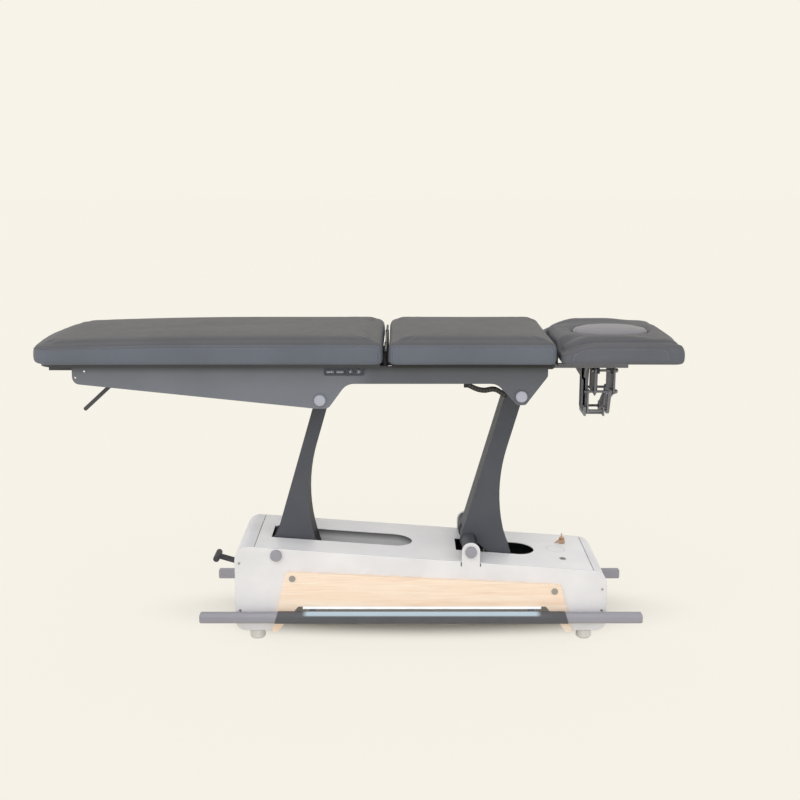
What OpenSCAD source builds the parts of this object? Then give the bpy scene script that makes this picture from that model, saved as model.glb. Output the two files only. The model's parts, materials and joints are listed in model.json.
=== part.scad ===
// Treatment table with a padded top in three sections, carried by two parallel
// lift arms that stand in a sloping white base. X runs along the table from the
// foot end to the head end, Y across it and Z up. The origin is on the floor
// under the middle of the padded top.

/* [Padded top] */
// Length of the leg cushion
leg_len = 1039; // [980:1:1120]
// Length of the middle cushion
mid_len = 489; // [470:1:540]
// Length of the head cushion
head_len = 361; // [350:1:390]
// Width of the three cushions
cushion_w = 540; // [520:1:600]
// Height of a cushion from its underside to its crown
cushion_t = 75; // [70:1:90]
// Width of the rounded shoulder round the top of a cushion
shoulder_w = 45; // [36:1:52]
// Gap between the leg and middle cushions, where the hinge lies
leg_gap = 14; // [14:0.5:18]
// Gap between the middle and head cushions
head_gap = 9; // [8:0.5:14]
// Thickness of the boards under the cushions
board_t = 14; // [12:0.5:18]
// Width of the boards under the cushions
board_w = 440; // [400:1:470]
// Length of the oval face recess
face_len = 236; // [200:1:240]
// Width of the oval face recess
face_w = 166; // [150:1:176]

/* [Lift] */
// Length of a lift arm between its pivots
arm_len = 509; // [480:1:540]
// Angle of the lift arms above the horizontal as modelled
arm_lean = 73.8; // [70:0.1:78]
// Distance between the front and rear arms
pivot_gap = 596; // [570:1:640]
// Height of the rear arm's lower pivot
rear_pivot_h = 276; // [272:1:300]
// Height of the front lower pivot above the rear one
pivot_rise = 11; // [6:1:16]
// Radius of the four pivot shafts
shaft_r = 11; // [9:0.5:12]
// Width of a lift arm across the table
arm_w = 104; // [96:1:110]
// Thickness of a lift arm's cheeks and webs
arm_t = 5; // [4:0.5:7]
// Radius from the front lower pivot to the lever pin
lever_r = 100; // [94:1:102]

/* [Top frame] */
// Width across the outside of the two frame plates
frame_w = 380; // [372:1:396]
// Thickness of a frame plate
frame_t = 4; // [3:0.5:6]
// Depth of a frame plate between its bosses
frame_depth = 54; // [48:1:60]
// Height of the frame's top edge above the rear upper pivot
frame_up = 103; // [98:1:112]
// Overhang of the leg cushion past the foot end of the frame
foot_overhang = 121; // [100:1:140]

/* [Base] */
// Width across the outside of the base side plates
base_w = 338; // [330:1:346]
// Length of the base on the foot side of the rear pivot
base_foot_reach = 128; // [124:1:150]
// Length of the base on the head side of the front pivot
base_head_reach = 419; // [400:1:450]
// Slope of the top cover towards the head end, in degrees
cover_slope = 4.18; // [3.6:0.02:4.6]
// Thickness of the base side plates
side_t = 4; // [3:0.5:5]
// Height of the levelling feet
foot_h = 33; // [28:1:40]
// Diameter of the levelling feet
foot_d = 48; // [40:1:54]
// Thickness of the wood side panels
wood_t = 12; // [9:0.5:14]
// Height of the long cut-out under the wood panels, above the base underside
cutout_h = 82; // [78:1:86]

/* [Foot rails] */
// Overhang of a foot rail past the foot end of the base
rail_foot_over = 106; // [80:1:120]
// Overhang of a foot rail past the head end of the base
rail_head_over = 105; // [80:1:120]
// Height of a foot rail's section
rail_h = 31; // [28:1:38]
// Width of a foot rail's section
rail_w = 25; // [22:1:30]

/* [Hidden] */

// Running clearance on the radius of a pin in its bore
bore_gap = 0.05;
// Radial clearance at the pivots where a closed linkage is opened
open_gap = 0.3;
// Distance that cutting solids reach past the faces they cut
over = 2;
$fn = 48;

// Colours
c_vinyl = "#747577";
c_frame = "#6e7178";
c_dark = "#3f4246";
c_arm = "#595c61";
c_white = "#e9e9ea";
c_wood = "#f6dcc2";
c_grey = "#9d9ca5";
c_cap = "#b3b5bf";
c_steel = "#a9abb0";
c_rubber = "#d5d2ce";
c_light = "#f4fbff";
c_black = "#1d1e20";
c_brass = "#8a6a4a";

// Stations along the padded top
top_len = leg_len + leg_gap + mid_len + head_gap + head_len;
leg_x0 = -top_len / 2;
leg_x1 = leg_x0 + leg_len;
mid_x0 = leg_x1 + leg_gap;
mid_x1 = mid_x0 + mid_len;
head_x0 = mid_x1 + head_gap;
head_x1 = head_x0 + head_len;
hinge_x = leg_x1 + leg_gap / 2;

// Frame ends and the four lift pivots
frame_end_in = 19;
front_pivot_in = 77;
frame_x0 = leg_x0 + foot_overhang;
frame_x1 = mid_x1 - frame_end_in;
arm_dx = arm_len * cos(arm_lean);
arm_dz = arm_len * sin(arm_lean);
front_top = [frame_x1 - front_pivot_in, rear_pivot_h + pivot_rise + arm_dz];
rear_top = [front_top[0] - pivot_gap, rear_pivot_h + arm_dz];
front_low = [front_top[0] - arm_dx, rear_pivot_h + pivot_rise];
rear_low = [rear_top[0] - arm_dx, rear_pivot_h];
frame_top = rear_top[1] + frame_up;
cushion_z0 = frame_top + board_t;
frame_in = frame_w / 2 - frame_t;

// Base stations
base_x0 = rear_low[0] - base_foot_reach;
base_x1 = front_low[0] + base_head_reach;
cover_over_pivot = 21;
base_half = base_w / 2;
side_in = base_half - side_t;
chassis_t = 6;
chassis_in = side_in - chassis_t;
corner_foot_r = 42;
corner_head_r = 45;
skirt_r = 30;
seam_foot_in = 61;
seam_head_in = 41;
seam_x0 = base_x0 + seam_foot_in;
seam_x1 = base_x1 - seam_head_in;
cover_t = 3;

// Height of the cover's top face at a station along the base
function cover_z(x) = rear_low[1] + cover_over_pivot - (x - rear_low[0]) * tan(cover_slope);

// Unit vector of a 2D vector
function unit2(v) = v / norm(v);
// Points of a circular arc
function arc2(c, r, a0, a1, n) = [for (i = [0:n]) c + r * [cos(a0 + (a1 - a0) * i / n),
                                                          sin(a0 + (a1 - a0) * i / n)]];
// Angle wrapped to the half turn on each side of zero
function wrap(a) = a > 180 ? a - 360 : (a < -180 ? a + 360 : a);
// Rounded corner at b, between its neighbours a and c
function corner(a, b, c, r, n) =
    let (u = unit2(a - b), v = unit2(c - b), half = acos(max(-1, min(1, u * v))) / 2,
         t = r / tan(half), m = b + unit2(u + v) * r / sin(half), p = b + u * t - m, q = b + v * t - m,
         a0 = atan2(p[1], p[0]), turn = wrap(atan2(q[1], q[0]) - a0))
    r == 0 ? [b] : arc2(m, r, a0, a0 + turn, n);
// Outline through [x, y, corner radius] points
function rounded(pts, n = 6) =
    let (k = len(pts))
    [for (i = [0:k - 1])
        let (a = pts[(i + k - 1) % k], b = pts[i], c = pts[(i + 1) % k])
        each corner([a[0], a[1]], [b[0], b[1]], [c[0], c[1]], b[2], n)];

// Extrusion across the table, from y0 to y1, of an outline drawn in X and Z
module slab(y0, y1) {
    translate([0, y1, 0]) rotate([90, 0, 0]) linear_extrude(height = y1 - y0) children();
}
// The same slab on both sides of the centre line
module slabs(y0, y1) {
    slab(y0, y1) children();
    slab(-y1, -y0) children();
}
// Cylinder along Y at p = [x, z]
module rod_y(r, y0, y1, p) {
    translate([p[0], y1, p[1]]) rotate([90, 0, 0]) cylinder(r = r, h = y1 - y0);
}
// Cylinder along X at [y, z]
module rod_x(r, x0, x1, y, z) {
    translate([x0, y, z]) rotate([0, 90, 0]) cylinder(r = r, h = x1 - x0);
}
// Box from corner a to corner b
module box(a, b) {
    translate(a) cube(b - a);
}
// Both mirror halves across the centre line
module both() {
    children();
    mirror([0, 1, 0]) children();
}
// Bar outline with round ends of two radii, drawn from the origin along +X
bar_steps = 14;
module bar2(r0, r1, length) {
    a = acos((r0 - r1) / length);
    polygon(concat(arc2([0, 0], r0, a, 360 - a, bar_steps), arc2([length, 0], r1, -a, a, bar_steps)));
}
// Bar outline from p to q in X and Z
module bar_pq(p, q, r0, r1) {
    d = q - p;
    translate(p) rotate(atan2(d[1], d[0])) bar2(r0, r1, norm(d));
}

// Outline of the base seen from the side, drawn in by d
function base_points(d) = [
    [base_x0 + d, cover_z(base_x0) - d, corner_foot_r - d],
    [base_x0 + d, foot_h + d, max(skirt_r - d, over)],
    [base_x1 - d, foot_h + d, max(skirt_r - d, over)],
    [base_x1 - d, cover_z(base_x1) - d, corner_head_r - d]];

// Long cut-out that the side plates and wood panels share, grown by g
window_foot_in = 130;
window_head_in = 124;
window_slope_w = 64;
window_corner_r = 8;
window_z1 = foot_h + cutout_h;
window_x0 = base_x0 + window_foot_in;
window_x1 = base_x1 - window_head_in;
function window_points(g) = [
    [window_x0 - g - window_slope_w * g / cutout_h, foot_h - g, 0],
    [window_x0 + window_slope_w - g, window_z1 + g, window_corner_r],
    [window_x1 - window_slope_w + g, window_z1 + g, window_corner_r],
    [window_x1 + g + window_slope_w * g / cutout_h, foot_h - g, 0]];

// Ears round the front lower pivot
ear_r = 28;
ear_inner_r = 24;
ear_slit_w = 3;
ear_slit_d = 14;

// Screws at the corners of the casing
casing_screw_r = 3.5;
casing_shank_r = 2.5;
casing_head_t = 1.5;
casing_screw_in = 14;
casing_top_drop = 56;
casing_low_rise = 65;
casing_screws_at = [
    [base_x0 + casing_screw_in, cover_z(base_x0) - casing_top_drop],
    [base_x0 + casing_screw_in, foot_h + casing_low_rise],
    [base_x1 - casing_screw_in, cover_z(base_x1) - casing_top_drop],
    [base_x1 - casing_screw_in, foot_h + casing_low_rise]];

// Wood panel outline and screws
panel_slope_w = 46;
panel_head_slope_w = 37;
panel_leg_w = 18;
panel_foot_h = 193;
panel_head_h = 152;
panel_corner_r = 12;
panel_toe_r = 3;
panel_screw_r = 10;
panel_shank_r = 4;
panel_head_t = 2;
panel_x0 = window_x0 - panel_leg_w;
panel_x1 = window_x1 + panel_leg_w;
panel_screw_in = 19;
panel_screw_drop = 21;
panel_screws_at = [
    [panel_x0 + panel_slope_w + panel_screw_in, foot_h + panel_foot_h - panel_screw_drop],
    [panel_x1 - panel_head_slope_w - panel_screw_in, foot_h + panel_head_h - panel_screw_drop]];

// Slots in the top cover for the lift arms
slot_half = arm_w / 2 + 7;
rear_slot_back = 25;
rear_slot_run = 417;
front_slot_back = 41;
front_slot_run = 210;
rear_slot_x0 = rear_low[0] - rear_slot_back;
rear_slot_x1 = rear_low[0] + rear_slot_run;
front_slot_x0 = front_low[0] - front_slot_back;
front_slot_x1 = front_low[0] + front_slot_run;

// Child placed on the top cover's upper face at station x
module on_cover(x) {
    translate([x, 0, cover_z(x)]) rotate([0, cover_slope, 0]) children();
}

// Lock and stop button on the cover
lock_back = 109;
lock_y = 88;
lock_r = 9;
lock_flange_r = 12;
lock_flange_t = 1.5;
lock_depth = 26;
stop_back = 125;
stop_y = -73;
stop_r = 6;
stop_ring_r = 9;
stop_travel = 1.5;
stop_stem_r = 3;
stop_depth = 14;
stop_rest = 0.5;
lock_x = base_x1 - lock_back;
stop_x = base_x1 - stop_back;

module side_plate() {
    slab(-base_half, -side_in) difference() {
        union() {
            polygon(rounded(base_points(0)));
            translate(front_low) circle(r = ear_r);
            translate([front_low[0] - ear_r, rear_low[1] - ear_r * 2])
                square([ear_r * 2, ear_r * 2 + pivot_rise]);
        }
        polygon(rounded(window_points(0)));
        for (p = [front_low, rear_low]) translate(p) circle(r = shaft_r + bore_gap);
        for (p = casing_screws_at) translate(p) circle(r = casing_shank_r + bore_gap);
        for (p = panel_screws_at) translate(p) circle(r = panel_shank_r + bore_gap);
        for (s = [-1, 1]) translate([front_low[0] + s * (ear_r + ear_slit_w / 2) - ear_slit_w / 2,
                                     cover_z(front_low[0]) - ear_slit_d])
            square([ear_slit_w, ear_slit_d * 2]);
    }
}
module side_plate_left() { color(c_white) side_plate(); }
module side_plate_right() { color(c_white) mirror([0, 1, 0]) side_plate(); }

cover_gap = 1;
notch_gap = 3;
well_t = 2;
well_depth = 45;
well_run = 98;
well_x0 = rear_low[0] + well_run;
well_x1 = rear_slot_x1 + well_t * 2;
module top_cover() {
    run = (seam_x1 - seam_x0) / cos(cover_slope) - cover_gap * 2;
    color(c_white) difference() {
        union() {
            on_cover(seam_x0) translate([cover_gap, -side_in, -cover_t]) cube([run, side_in * 2, cover_t]);
            intersection() {
                cover_slot(rear_slot_x0, rear_slot_x1, well_t);
                slab(-side_in, side_in) polygon([[well_x0, cover_z(well_x0) - well_depth],
                                                 [well_x1, cover_z(well_x1) - well_depth],
                                                 [well_x1, cover_z(well_x1) - cover_t / 2],
                                                 [well_x0, cover_z(well_x0) - cover_t / 2]]);
            }
        }
        cover_slot(rear_slot_x0, rear_slot_x1, 0);
        cover_slot(front_slot_x0, front_slot_x1, 0);
        both() box([front_low[0] - ear_inner_r - notch_gap, -side_in - over, foot_h],
                   [front_low[0] + ear_inner_r + notch_gap, -chassis_in + notch_gap, frame_top]);
        on_cover(lock_x) translate([0, lock_y, -cover_t - over]) cylinder(r = lock_r, h = cover_t + over * 2);
        on_cover(stop_x) translate([0, stop_y, -cover_t - over]) cylinder(r = stop_ring_r, h = cover_t + over * 2);
    }
}
// Slot with square corners at the arm and a half round at the head end, grown by g
module cover_slot(x0, x1, g) {
    translate([0, 0, foot_h]) linear_extrude(height = frame_top) {
        translate([x0 - g, -slot_half - g]) square([x1 - x0 - slot_half + g, (slot_half + g) * 2]);
        translate([x1 - slot_half, 0]) circle(r = slot_half + g);
    }
}

// Shell of the casing between the side plates
module casing_shell() {
    slab(-side_in, side_in) difference() {
        polygon(rounded(base_points(0)));
        polygon(rounded(base_points(cover_t)));
    }
}
pedal_slot_half = 11;
pedal_slot_down = 12;
pedal_slot_up = 32;
module end_cover_foot() {
    color(c_white) difference() {
        casing_shell();
        box([seam_x0 - cover_gap, -base_w, window_z1], [base_x1 + over, base_w, frame_top]);
        box([base_x0 + skirt_r, -base_w, 0], [base_x1 + over, base_w, cover_z(base_x1)]);
        box([base_x0 - over, -pedal_slot_half, pedal_pivot[1] - pedal_slot_down],
            [base_x0 + cover_t + over, pedal_slot_half, pedal_pivot[1] + pedal_slot_up]);
    }
}
module end_cover_head() {
    color(c_white) difference() {
        casing_shell();
        box([base_x0 - over, -base_w, window_z1], [seam_x1 + cover_gap, base_w, frame_top]);
        box([base_x0 - over, -base_w, 0], [base_x1 - skirt_r, base_w, window_z1 + over]);
    }
}

// Inner side members with their ears
chassis_inset = 8;
module chassis_member() {
    slab(-side_in, -chassis_in) difference() {
        union() {
            polygon(rounded(base_points(chassis_inset)));
            translate(front_low) circle(r = ear_inner_r);
            translate([front_low[0] - ear_inner_r, rear_low[1] - ear_r * 2])
                square([ear_inner_r * 2, ear_r * 2 + pivot_rise]);
        }
        polygon(rounded(window_points(pan_gap)));
        for (p = [front_low, rear_low]) translate(p) circle(r = shaft_r + bore_gap);
        for (p = panel_screws_at) translate(p) circle(r = panel_shank_r + bore_gap);
        for (p = casing_screws_at) translate(p) circle(r = casing_shank_r + bore_gap);
    }
}
module chassis_left() { color(c_dark) chassis_member(); }
module chassis_right() { color(c_dark) mirror([0, 1, 0]) chassis_member(); }

// Folded floor pan with its lugs
pan_t = 4;
pan_gap = 3;
foot_in = 63;
foot_y = 139;
stem_r = 5;
feet_at = [base_x0 + foot_in, base_x1 - foot_in];
pan_end_in = 24;
lug_t = 6;
rail_pivot_y = 120;
rail_pivot_drop = 23;
rail_pivot_z = window_z1 - rail_pivot_drop;
rail_pin_r = 4;
rail_arm_w = 20;
rail_arm_t = 12;
rail_boss_r = 9;
rail_lug_gap = 1;
rail_arm_in = 106;
rail_arms_at = [window_x0 + rail_arm_in, window_x1 - rail_arm_in];
act_share = 0.9;
act_run = 158;
act_z = front_low[1] - lever_r * act_share;
act_x = rear_low[0] + act_run;
act_pin_r = 6;
act_lug_r = 15;
act_eye_half = 13;
act_lug_gap = 1;
pedal_in = 62;
pedal_over_carrier = 81;
carrier_in = 46;
axle_run = 45;
axle_drop = 55.5;
wheel_lift = 9.5;
wheel_r = 30;
wheel_y0 = 58;
wheel_y1 = 80;
wheel_slot_gap = 4;
wheel_swing = 13;
pedal_pin_r = 6;
carrier_tube_r = 9;
carrier_arm_y = 46;
carrier_arm_t = 6;
pedal_lug_y = 22;
pedal_lug_r = 15;
carrier_pivot = [base_x0 + carrier_in, wheel_r + wheel_lift + axle_drop];
pedal_pivot = [base_x0 + pedal_in, carrier_pivot[1] + pedal_over_carrier];
axle_at = carrier_pivot + [axle_run, -axle_drop];

function pan_line(z_up) = [
    [base_x0 + pan_end_in, foot_h + pan_t + z_up],
    [window_x0 - pan_gap * 2, foot_h + pan_t + z_up],
    [window_x0 + window_slope_w - pan_gap * 2, window_z1 + pan_gap + z_up],
    [window_x1 - window_slope_w + pan_gap * 2, window_z1 + pan_gap + z_up],
    [window_x1 + pan_gap * 2, foot_h + pan_t + z_up],
    [base_x1 - pan_end_in, foot_h + pan_t + z_up]];
function reversed(v) = [for (i = [len(v) - 1:-1:0]) v[i]];

module floor_pan() {
    color(c_steel) difference() {
        union() {
            slab(-chassis_in, chassis_in) polygon(concat(pan_line(0), reversed(pan_line(pan_t))));
            for (x = rail_arms_at) both() rail_lugs(x);
            slabs(act_eye_half + act_lug_gap, act_eye_half + act_lug_gap + lug_t) act_lug();
            slabs(pedal_lug_y, pedal_lug_y + lug_t) pedal_lug();
        }
        for (x = feet_at) both() translate([x, -foot_y, 0]) cylinder(r = stem_r + bore_gap, h = window_z1);
        both() box([axle_at[0] - wheel_r - wheel_slot_gap - wheel_swing, carrier_arm_y - over, 0],
                   [axle_at[0] + wheel_r + wheel_slot_gap, wheel_y1 + wheel_slot_gap * 2,
                    foot_h + pan_t * 2 + over]);
        rod_y(act_pin_r, -base_half, base_half, [act_x, act_z]);
        rod_y(pedal_pin_r + bore_gap, -base_half, base_half, pedal_pivot);
        rod_y(carrier_tube_r + bore_gap, -base_half, base_half, carrier_pivot);
    }
}
module rail_lugs(x) {
    reach = rail_arm_w / 2 + rail_lug_gap + lug_t;
    for (s = [-1, 1]) translate([x + s * (reach - lug_t / 2) - lug_t / 2, 0, 0])
        box([0, -rail_pivot_y - rail_boss_r, rail_pivot_z - rail_boss_r],
            [lug_t, -rail_pivot_y + rail_boss_r, window_z1 + pan_gap + over]);
    rod_x(rail_pin_r, x - reach, x + reach, -rail_pivot_y, rail_pivot_z);
}
module act_lug() {
    translate([act_x, act_z]) circle(r = act_lug_r);
    translate([act_x - act_lug_r, window_z1 + pan_gap]) square([act_lug_r * 2, act_z - window_z1 - pan_gap]);
}
module pedal_lug() {
    translate(pedal_pivot) circle(r = pedal_lug_r);
    polygon([[pedal_pivot[0] - pedal_lug_r, pedal_pivot[1]], [pedal_pivot[0] + pedal_lug_r, pedal_pivot[1]],
             [pedal_pivot[0] + pedal_lug_r, foot_h + pan_t], [carrier_pivot[0] - pedal_lug_r, foot_h + pan_t],
             [carrier_pivot[0] - pedal_lug_r, carrier_pivot[1]]]);
}

module wood_panel() {
    color(c_wood) slab(-base_half - wood_t, -base_half) difference() {
        polygon(rounded([[panel_x0, foot_h, panel_toe_r],
                         [panel_x0 + panel_slope_w, foot_h + panel_foot_h, panel_corner_r],
                         [panel_x1 - panel_head_slope_w, foot_h + panel_head_h, panel_corner_r],
                         [panel_x1, foot_h, panel_toe_r]]));
        polygon(rounded(window_points(0)));
        for (p = panel_screws_at) translate(p) circle(r = panel_shank_r + bore_gap);
    }
}
module wood_panel_left() { wood_panel(); }
module wood_panel_right() { mirror([0, 1, 0]) wood_panel(); }
module wood_panel_screws() {
    color(c_steel) for (p = panel_screws_at) both() {
        rod_y(panel_screw_r, -base_half - wood_t - panel_head_t, -base_half - wood_t, p);
        rod_y(panel_shank_r, -base_half - wood_t - over / 2, -chassis_in, p);
    }
}
module casing_screws() {
    color(c_steel) for (p = casing_screws_at) both() {
        rod_y(casing_screw_r, -base_half - casing_head_t, -base_half, p);
        rod_y(casing_shank_r, -base_half - casing_head_t / 2, -side_in, p);
    }
}

// Levelling feet and their threaded stems
foot_neck_r = 12;
foot_round = 8;
stem_rise = 34;
nut_r = 9;
nut_h = 8;
module levelling_feet() {
    color(c_rubber) for (x = feet_at) both() translate([x, -foot_y, 0]) rotate_extrude() difference() {
        polygon(concat([[0, 0]], arc2([foot_d / 2 - foot_round, foot_round], foot_round, -90, 0, 6),
                       [[foot_d / 2, foot_h - foot_round / 2], [foot_d / 2 - foot_round / 2, foot_h],
                        [foot_neck_r, foot_h], [foot_neck_r, foot_h + pan_t], [0, foot_h + pan_t]]));
        translate([-stem_r, foot_h / 2]) square([stem_r * 2, foot_h]);
    }
}
module foot_stems() {
    color(c_steel) for (x = feet_at) both() translate([x, -foot_y, 0]) {
        translate([0, 0, foot_h / 2]) cylinder(r = stem_r, h = foot_h / 2 + pan_t * 2 + stem_rise);
        translate([0, 0, foot_h + pan_t * 2]) cylinder(r = nut_r, h = nut_h, $fn = 6);
    }
}

// Light bars under the top edge of the cut-outs
light_h = 8;
light_w = 10;
light_in = 14;
module light_bars() {
    color(c_light) both() box([window_x0 + window_slope_w + light_in, -base_half - wood_t, window_z1 - light_h],
                              [window_x1 - window_slope_w - light_in, -base_half - wood_t + light_w, window_z1]);
}

// Lower shafts and caps
cap_t = 10;
cap_r = 17.5;
cap_edge = 2;
cap_socket = 4;
module cap_y(y_in, t, p, r) {
    translate([p[0], -y_in, p[1]]) rotate([90, 0, 0]) rotate_extrude() difference() {
        polygon([[0, 0], [r, 0], [r, t - cap_edge], [r - cap_edge, t], [0, t]]);
        square([shaft_r + bore_gap, cap_socket]);
    }
}
module lower_shafts() {
    color(c_steel) for (p = [front_low, rear_low])
        rod_y(shaft_r, -base_half - cap_socket, base_half + cap_socket, p);
}
module lower_pivot_caps() {
    color(c_grey) for (p = [front_low, rear_low]) both() cap_y(base_half, cap_t, p, cap_r);
}

// Control box on the floor pan
box_len = 92;
box_wid = 150;
box_ht = 60;
box_lid = 2;
box_r = 6;
module control_box() {
    x1 = window_x1 - window_slope_w - pan_gap;
    color(c_black) translate([x1 - box_len, 0, window_z1 + pan_gap + pan_t]) {
        linear_extrude(height = box_ht) polygon(rounded([
            [0, -box_wid / 2, box_r], [box_len, -box_wid / 2, box_r],
            [box_len, box_wid / 2, box_r], [0, box_wid / 2, box_r]]));
        translate([box_r, -box_wid / 2 + box_r, box_ht])
            cube([box_len - box_r * 2, box_wid - box_r * 2, box_lid]);
    }
}

// Lock, key and stop button
key_hole_share = 1.3;
key_slot_l = 8;
key_t = 2;
key_blade_w = 7;
key_blade_l = 16;
key_neck = 4;
key_bow_r = 9;
key_hole_r = 3;
ring_r = 9;
ring_wire_r = 1;
ring_lean = 61;
module cover_lock() {
    color(c_steel) {
        on_cover(lock_x) translate([0, lock_y, 0]) difference() {
            union() {
                cylinder(r = lock_flange_r, h = lock_flange_t);
                translate([0, 0, -lock_depth]) cylinder(r = lock_r - bore_gap, h = lock_depth);
            }
            translate([-key_slot_l / 2, -key_slot_l / 2, -key_blade_l - over])
                cube([key_slot_l, key_slot_l, key_blade_l + over * 2]);
        }
        on_cover(stop_x) translate([0, stop_y, 0]) difference() {
            union() {
                cylinder(r = stop_ring_r + lock_flange_t, h = lock_flange_t);
                translate([0, 0, -stop_depth]) cylinder(r = stop_ring_r - bore_gap, h = stop_depth);
            }
            translate([0, 0, -stop_depth / 2]) cylinder(r = stop_r + bore_gap * 4, h = stop_depth);
            translate([0, 0, -stop_depth - over]) cylinder(r = stop_stem_r + bore_gap * 2, h = stop_depth);
        }
    }
}
module lock_key() {
    color(c_brass) on_cover(lock_x) translate([0, lock_y, 0]) {
        rotate([90, 0, 0]) translate([0, 0, -key_t / 2]) linear_extrude(height = key_t) difference() {
            union() {
                translate([-key_blade_w / 2, -key_blade_l]) square([key_blade_w, key_blade_l + key_neck + key_bow_r]);
                translate([0, key_neck + key_bow_r]) circle(r = key_bow_r);
            }
            translate([0, key_neck + key_bow_r * key_hole_share]) circle(r = key_hole_r);
        }
        translate([0, ring_r * sin(ring_lean), key_neck + key_bow_r * key_hole_share + ring_r * cos(ring_lean)])
            rotate([0, 90, 0])
                rotate_extrude() translate([ring_r, 0]) circle(r = ring_wire_r);
    }
}
module stop_button() {
    color(c_grey) on_cover(stop_x) translate([0, stop_y, 0]) {
        translate([0, 0, -stop_depth / 2 + stop_travel + stop_rest])
            cylinder(r = stop_r, h = stop_depth / 2 + lock_flange_t);
        translate([0, 0, -stop_depth]) cylinder(r = stop_stem_r, h = stop_depth);
    }
}

// Linear actuator lying along the base, with a slotted rod end
tube_r = 22;
rod_r = 10;
rod_len = 250;
gear_r = 32;
gear_run = 30;
gear_len = 60;
tube_len = 240;
gear_x0 = act_x + gear_run;
gear_x1 = gear_x0 + gear_len;
tube_x1 = gear_x1 + tube_len;
motor_y = 52;
motor_len = 130;
motor_r = 21;
lever_rest = 33;
lever_most = 42;
lever_pin_r = 8;
lever_pin = front_low + lever_r * [sin(lever_rest), -cos(lever_rest)];
fork_half_x = 18;
fork_half_y = 18;
fork_slot_gap = 2.8;
fork_wall = 8;
fork_room = 5;
fork_z0 = front_low[1] - lever_r - lever_pin_r - fork_room - fork_wall;
fork_z1 = front_low[1] - lever_r * cos(lever_most) + lever_pin_r + fork_room + fork_wall;
module actuator_body() {
    color(c_black) difference() {
        union() {
            rod_x(gear_r, gear_x0, gear_x1, 0, act_z);
            rod_x(tube_r, gear_x1, tube_x1, 0, act_z);
            rod_x(motor_r, gear_x0, gear_x0 + motor_len, motor_y, act_z);
            box([gear_x0, 0, act_z - motor_r], [gear_x1, motor_y, act_z + motor_r]);
            slab(-act_eye_half, act_eye_half) bar_pq([act_x, act_z], [gear_x0 + over, act_z], act_lug_r, act_lug_r);
        }
        rod_x(rod_r + bore_gap, gear_x1, tube_x1 + over, 0, act_z);
        rod_y(act_pin_r + bore_gap, -gear_r, gear_r, [act_x, act_z]);
    }
    color(c_steel) rod_y(act_pin_r, -act_eye_half - act_lug_gap - lug_t, act_eye_half + act_lug_gap + lug_t,
                         [act_x, act_z]);
}
module actuator_rod() {
    color(c_steel) difference() {
        union() {
            rod_x(rod_r, lever_pin[0] - fork_half_x - rod_len, lever_pin[0] - fork_half_x + over, 0, act_z);
            slab(-fork_half_y, fork_half_y) polygon(rounded([
                [lever_pin[0] - fork_half_x, fork_z0, fork_wall], [lever_pin[0] + fork_half_x, fork_z0, fork_wall],
                [lever_pin[0] + fork_half_x, fork_z1, fork_wall], [lever_pin[0] - fork_half_x, fork_z1, fork_wall]]));
        }
        slot_half_w = lever_pin_r + fork_slot_gap;
        box([lever_pin[0] - slot_half_w, -fork_half_y - over, fork_z0 + fork_wall],
            [lever_pin[0] + slot_half_w, fork_half_y + over, fork_z1 - fork_wall]);
    }
}

// Lift arm in its own frame: +X from the lower to the upper pivot
rear_back = 16;
front_back = 28;
arm_front = 26;
flare_start = 320;
flare_end = -13;
flare_r = 524;
hub_r = 24;
boss_r = 26;
rear_side_hub_r = 15;
hub_end_gap = 1;
flare_steps = 12;
toe_back = 24;
toe_front = 75;
function flare(u) = arm_front + flare_r - sqrt(flare_r * flare_r - pow(flare_start - u, 2));
function flare_line(in) = [for (i = [0:flare_steps])
    let (u = flare_start + (flare_end - flare_start) * i / flare_steps) [u, -flare(u) + in]];
module arm_cheek(back) {
    circle(r = hub_r + arm_t);
    translate([arm_len, 0]) circle(r = boss_r);
    polygon(concat([[0, back], [arm_len, back], [arm_len, -arm_front]], flare_line(0),
                   [[-toe_back, -toe_front], [0, -hub_r]]));
}
module arm_web(back) {
    translate([hub_r, back - arm_t]) square([arm_len - hub_r * 2, arm_t]);
    polygon(concat([[arm_len - boss_r, -arm_front]], flare_line(0), reversed(flare_line(arm_t)),
                   [[arm_len - boss_r, -arm_front + arm_t]]));
}
module lift_arm(low, back, side_hub_r, top_gap) {
    translate([low[0], 0, low[1]]) rotate([0, -arm_lean, 0]) difference() {
        union() {
            slabs(arm_w / 2 - arm_t, arm_w / 2) arm_cheek(back);
            slab(-arm_w / 2, arm_w / 2) arm_web(back);
            rod_y(boss_r, -arm_w / 2, arm_w / 2, [arm_len, 0]);
        }
        rod_y(shaft_r + top_gap, -arm_w, arm_w, [arm_len, 0]);
        rod_y(hub_r - over, -arm_w, arm_w, [0, 0]);
    }
    difference() {
        union() {
            rod_y(hub_r, -arm_w / 2, arm_w / 2, low);
            rod_y(side_hub_r, -chassis_in + hub_end_gap, chassis_in - hub_end_gap, low);
        }
        rod_y(shaft_r + bore_gap, -base_half, base_half, low);
    }
}
module rear_arm() { color(c_arm) lift_arm(rear_low, rear_back, rear_side_hub_r, open_gap); }
lever_y = 20;
lever_t = 8;
lever_root_r = 16;
lever_tip_r = 13;
module front_arm() {
    color(c_arm) {
        lift_arm(front_low, front_back, hub_r, bore_gap);
        difference() {
            slabs(lever_y, lever_y + lever_t) bar_pq(front_low, lever_pin, lever_root_r, lever_tip_r);
            rod_y(hub_r - over, -base_half, base_half, front_low);
        }
        rod_y(lever_pin_r, -lever_y - lever_t, lever_y + lever_t, lever_pin);
    }
}

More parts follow.
